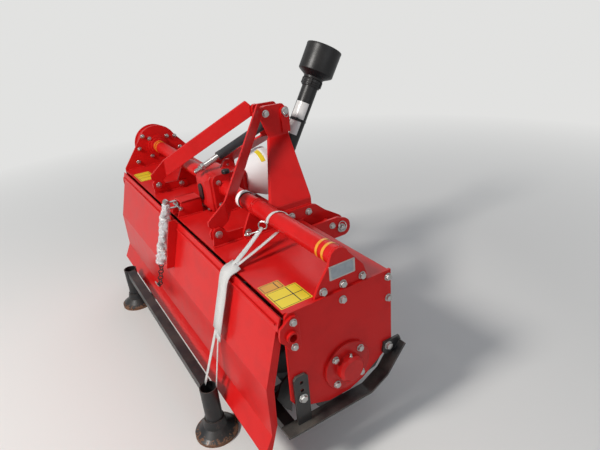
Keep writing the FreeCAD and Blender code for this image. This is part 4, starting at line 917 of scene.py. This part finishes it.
def addRodDetails():
    bm = bmesh.new()
    top, way = onWrap(0)
    addRound(bm, top + Vector((-0.011, 0, 0.004)), (1, 0, 0), 11, 22, 24, 1.5)
    for n in range(6):
        a, b = onWrap(n / 6)[0], onWrap((n + 1) / 6)[0]
        addRound(bm, a, b - a, 8, (b - a).length * 1000, 20, 0)
    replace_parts(finish("rodBar", bm, "zinc", "tailgate"), "tailgate_rod")
    bm = bmesh.new()
    for n in range(7):
        turned = (1, 0, 0.3) if n % 2 == 0 else (0.3, -1, 0.3)
        addRing(bm, at(-28 + n % 2, -277 - 3.6 * n, 396 - 12.5 * n), turned, 6, 2.2, 20, long=6)
    addRing(bm, at(-36, -301, 310), (0, -1, 0.2), 9, 2.6, 20, -20, 230)
    finish("rodChain", bm, "standPaint", "tailgate")
    bm = bmesh.new()
    addRound(bm, at(-40, -303, 304), (-1, 0, -0.12), 2.6, 38, 12, 0.8)
    addRing(bm, at(-78, -303, 306), (0, -1, 0), 7, 2.4, 20, 180, 180)
    finish("rodHook", bm, "zinc", "tailgate")


addWrap()
addRodBracket()
addRodDetails()
print("tailgate rod")


# ---- white strap: a loop round the right cross tube, a run over the deck, a wide sleeve and two ends
strap = {"width": 20, "thick": 1.8, "sleeveWidth": 68, "sleeveThick": 3.0}


def layStrap(bm, stations, width):  # a flat run through (centre, across) stations, with its own UV map in mm
    uv = bm.loops.layers.uv.verify()
    places = [(at(*c), Vector(a).normalized() * (w if w else width) / 2000) for c, a, w in stations]
    ends = [bm.verts.new(places[0][0] - places[0][1]), bm.verts.new(places[0][0] + places[0][1])]
    edge = bm.edges.new(ends)
    length = 0.0
    rows = {ends[0]: (-width / 2, 0.0), ends[1]: (width / 2, 0.0)}
    for n in range(1, len(places)):
        grown = bmesh.ops.extrude_edge_only(bm, edges=[edge])["geom"]
        edge = next(g for g in grown if isinstance(g, bmesh.types.BMEdge))
        length += (places[n][0] - places[n - 1][0]).length * 1000
        old = places[n - 1]
        for v in edge.verts:
            low = (v.co - (old[0] - old[1])).length < (v.co - (old[0] + old[1])).length
            v.co = places[n][0] - places[n][1] if low else places[n][0] + places[n][1]
            rows[v] = (-width / 2 if low else width / 2, length)
    for f in bm.faces:
        for loop in f.loops:
            if loop.vert in rows:
                loop[uv].uv = rows[loop.vert]


def closeStrap(name, bm, thick, *nodes):
    bmesh.ops.remove_doubles(bm, verts=list(bm.verts), dist=1e-6)
    obj = finish(name, bm, "webbing", smooth=50)
    skin = obj.modifiers.new("thickness", "SOLIDIFY")
    skin.thickness = thick / 1000
    skin.offset = 0
    skin.use_even_offset = True
    if nodes:
        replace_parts(obj, *nodes)
    return obj


def midway(a, b, t, sag=0.0):
    return tuple(p + (q - p) * t for p, q in zip(a[:2], b[:2])) + (a[2] + (b[2] - a[2]) * t - sag * 4 * t * (1 - t),)


def addStrap():
    bm = bmesh.new()
    loop = [((500 - 0.2 * (a + 60), 2 + 30 * math.cos(math.radians(a)), 674 + 30 * math.sin(math.radians(a))), (1, 0.1, 0.2), 15)
            for a in range(-100, 200, 12)]
    layStrap(bm, loop + [((447, -30, 664), (1, 0, 0.2), 15)], 15)
    closeStrap("strapLoop", bm, strap["thick"])
    bm = bmesh.new()
    run = [(midway((440, -43, 652), (494, -180, 589), t / 8, 3), (1, 0.25 * t / 8, 0.02), 0) for t in range(0, 9)]
    layStrap(bm, run, strap["width"])
    closeStrap("strapBand", bm, strap["thick"], "tie_strap")
    bm = bmesh.new()
    run = [(midway((489, -16, 644), (506, -176, 590.5), t / 6, 2), (1, 0.35, 0.3), 0) for t in range(0, 7)]
    layStrap(bm, run, 17)
    closeStrap("strapSecond", bm, 1.8)
    bm = bmesh.new()
    spine = [(501, -170, 592.5), (500, -184, 587), (499, -194, 584.5), (498.5, -204, 580), (498, -212, 571), (497.5, -219, 556),
             (496, -231, 510), (494.5, -244, 466), (493.5, -256, 424), (492.5, -267, 386)]
    layStrap(bm, [(c, (1, -0.10, 0.0), 0) for c in spine], strap["sleeveWidth"])
    closeStrap("strapSleeve", bm, strap["sleeveThick"])
    bm = bmesh.new()  # the sleeve's longer half
    layStrap(bm, [(c, (1, 0, 0), 0) for c in ((509.5, -266.5, 390), (509, -273, 366))], 30)
    closeStrap("strapSleeveEnd", bm, strap["sleeveThick"])
    for name, top, foot, width in (("strapEndLeft", (484, -263, 396), (468, -331, 190), 15),
                                   ("strapEndRight", (499, -263, 396), (504, -307, 190), 8)):
        bm = bmesh.new()
        layStrap(bm, [(midway(top, foot, t / 8), (1, -0.1 * t / 8, 0), 0) for t in range(9)], width)
        closeStrap(name, bm, 1.8)


def addStrapMetal():  # the tensioner's ring and its loose hook
    bm = bmesh.new()
    addRing(bm, at(437, -38, 657), (0.6, -0.75, 0.25), 12, 2.4, 28, long=5)
    addRing(bm, at(444, -52, 646), (0.2, -0.3, 1), 8, 2.2, 20, 30, 250)
    addRound(bm, at(444, -58, 645), (-0.62, -0.74, -0.30), 3.0, 34, 12, 0.8)
    addRing(bm, at(423, -92, 637), (0, 0.35, 1), 9, 2.8, 20, 120, 240)
    finish("strapHook", bm, "zinc")


addStrap()
addStrapMetal()
print("tie strap")


# ---- drive case: cover bolts, caps and plugs on the left end
def addCaseDetails():
    bm = bmesh.new()
    face = -861
    spots = [(2 + 84 * math.cos(a), 674 + 84 * math.sin(a)) for a in (0.15, 0.8, 1.57, 2.34, 2.99)]
    spots += [(80 * math.cos(a), 326 + 80 * math.sin(a)) for a in (-0.15, -0.8, -1.57, -2.34, -2.99)]
    spots += [(y, z) for z in (430, 500, 570) for y in (-82, 84)]
    for n, (y, z) in enumerate(spots):
        addBolt(bm, at(face, y, z), (-1, 0, 0), 6.5, 1.15, 17 * n)
    finish("caseBolts", bm, "zinc")
    bm = bmesh.new()
    addRound(bm, at(face, 0, 326), (-1, 0, 0), 34, 4, 40, 1.5)
    addRound(bm, at(face, 2, 674), (-1, 0, 0), 30, 4, 40, 1.5)
    addRound(bm, at(face, 20, 500), (-1, 0, 0), 9, 6, 6, 1)
    addRound(bm, at(face, 20, 270), (-1, 0, 0), 9, 6, 6, 1)
    finish("caseCaps", bm, "castRed")


addCaseDetails()
print("drive case details")
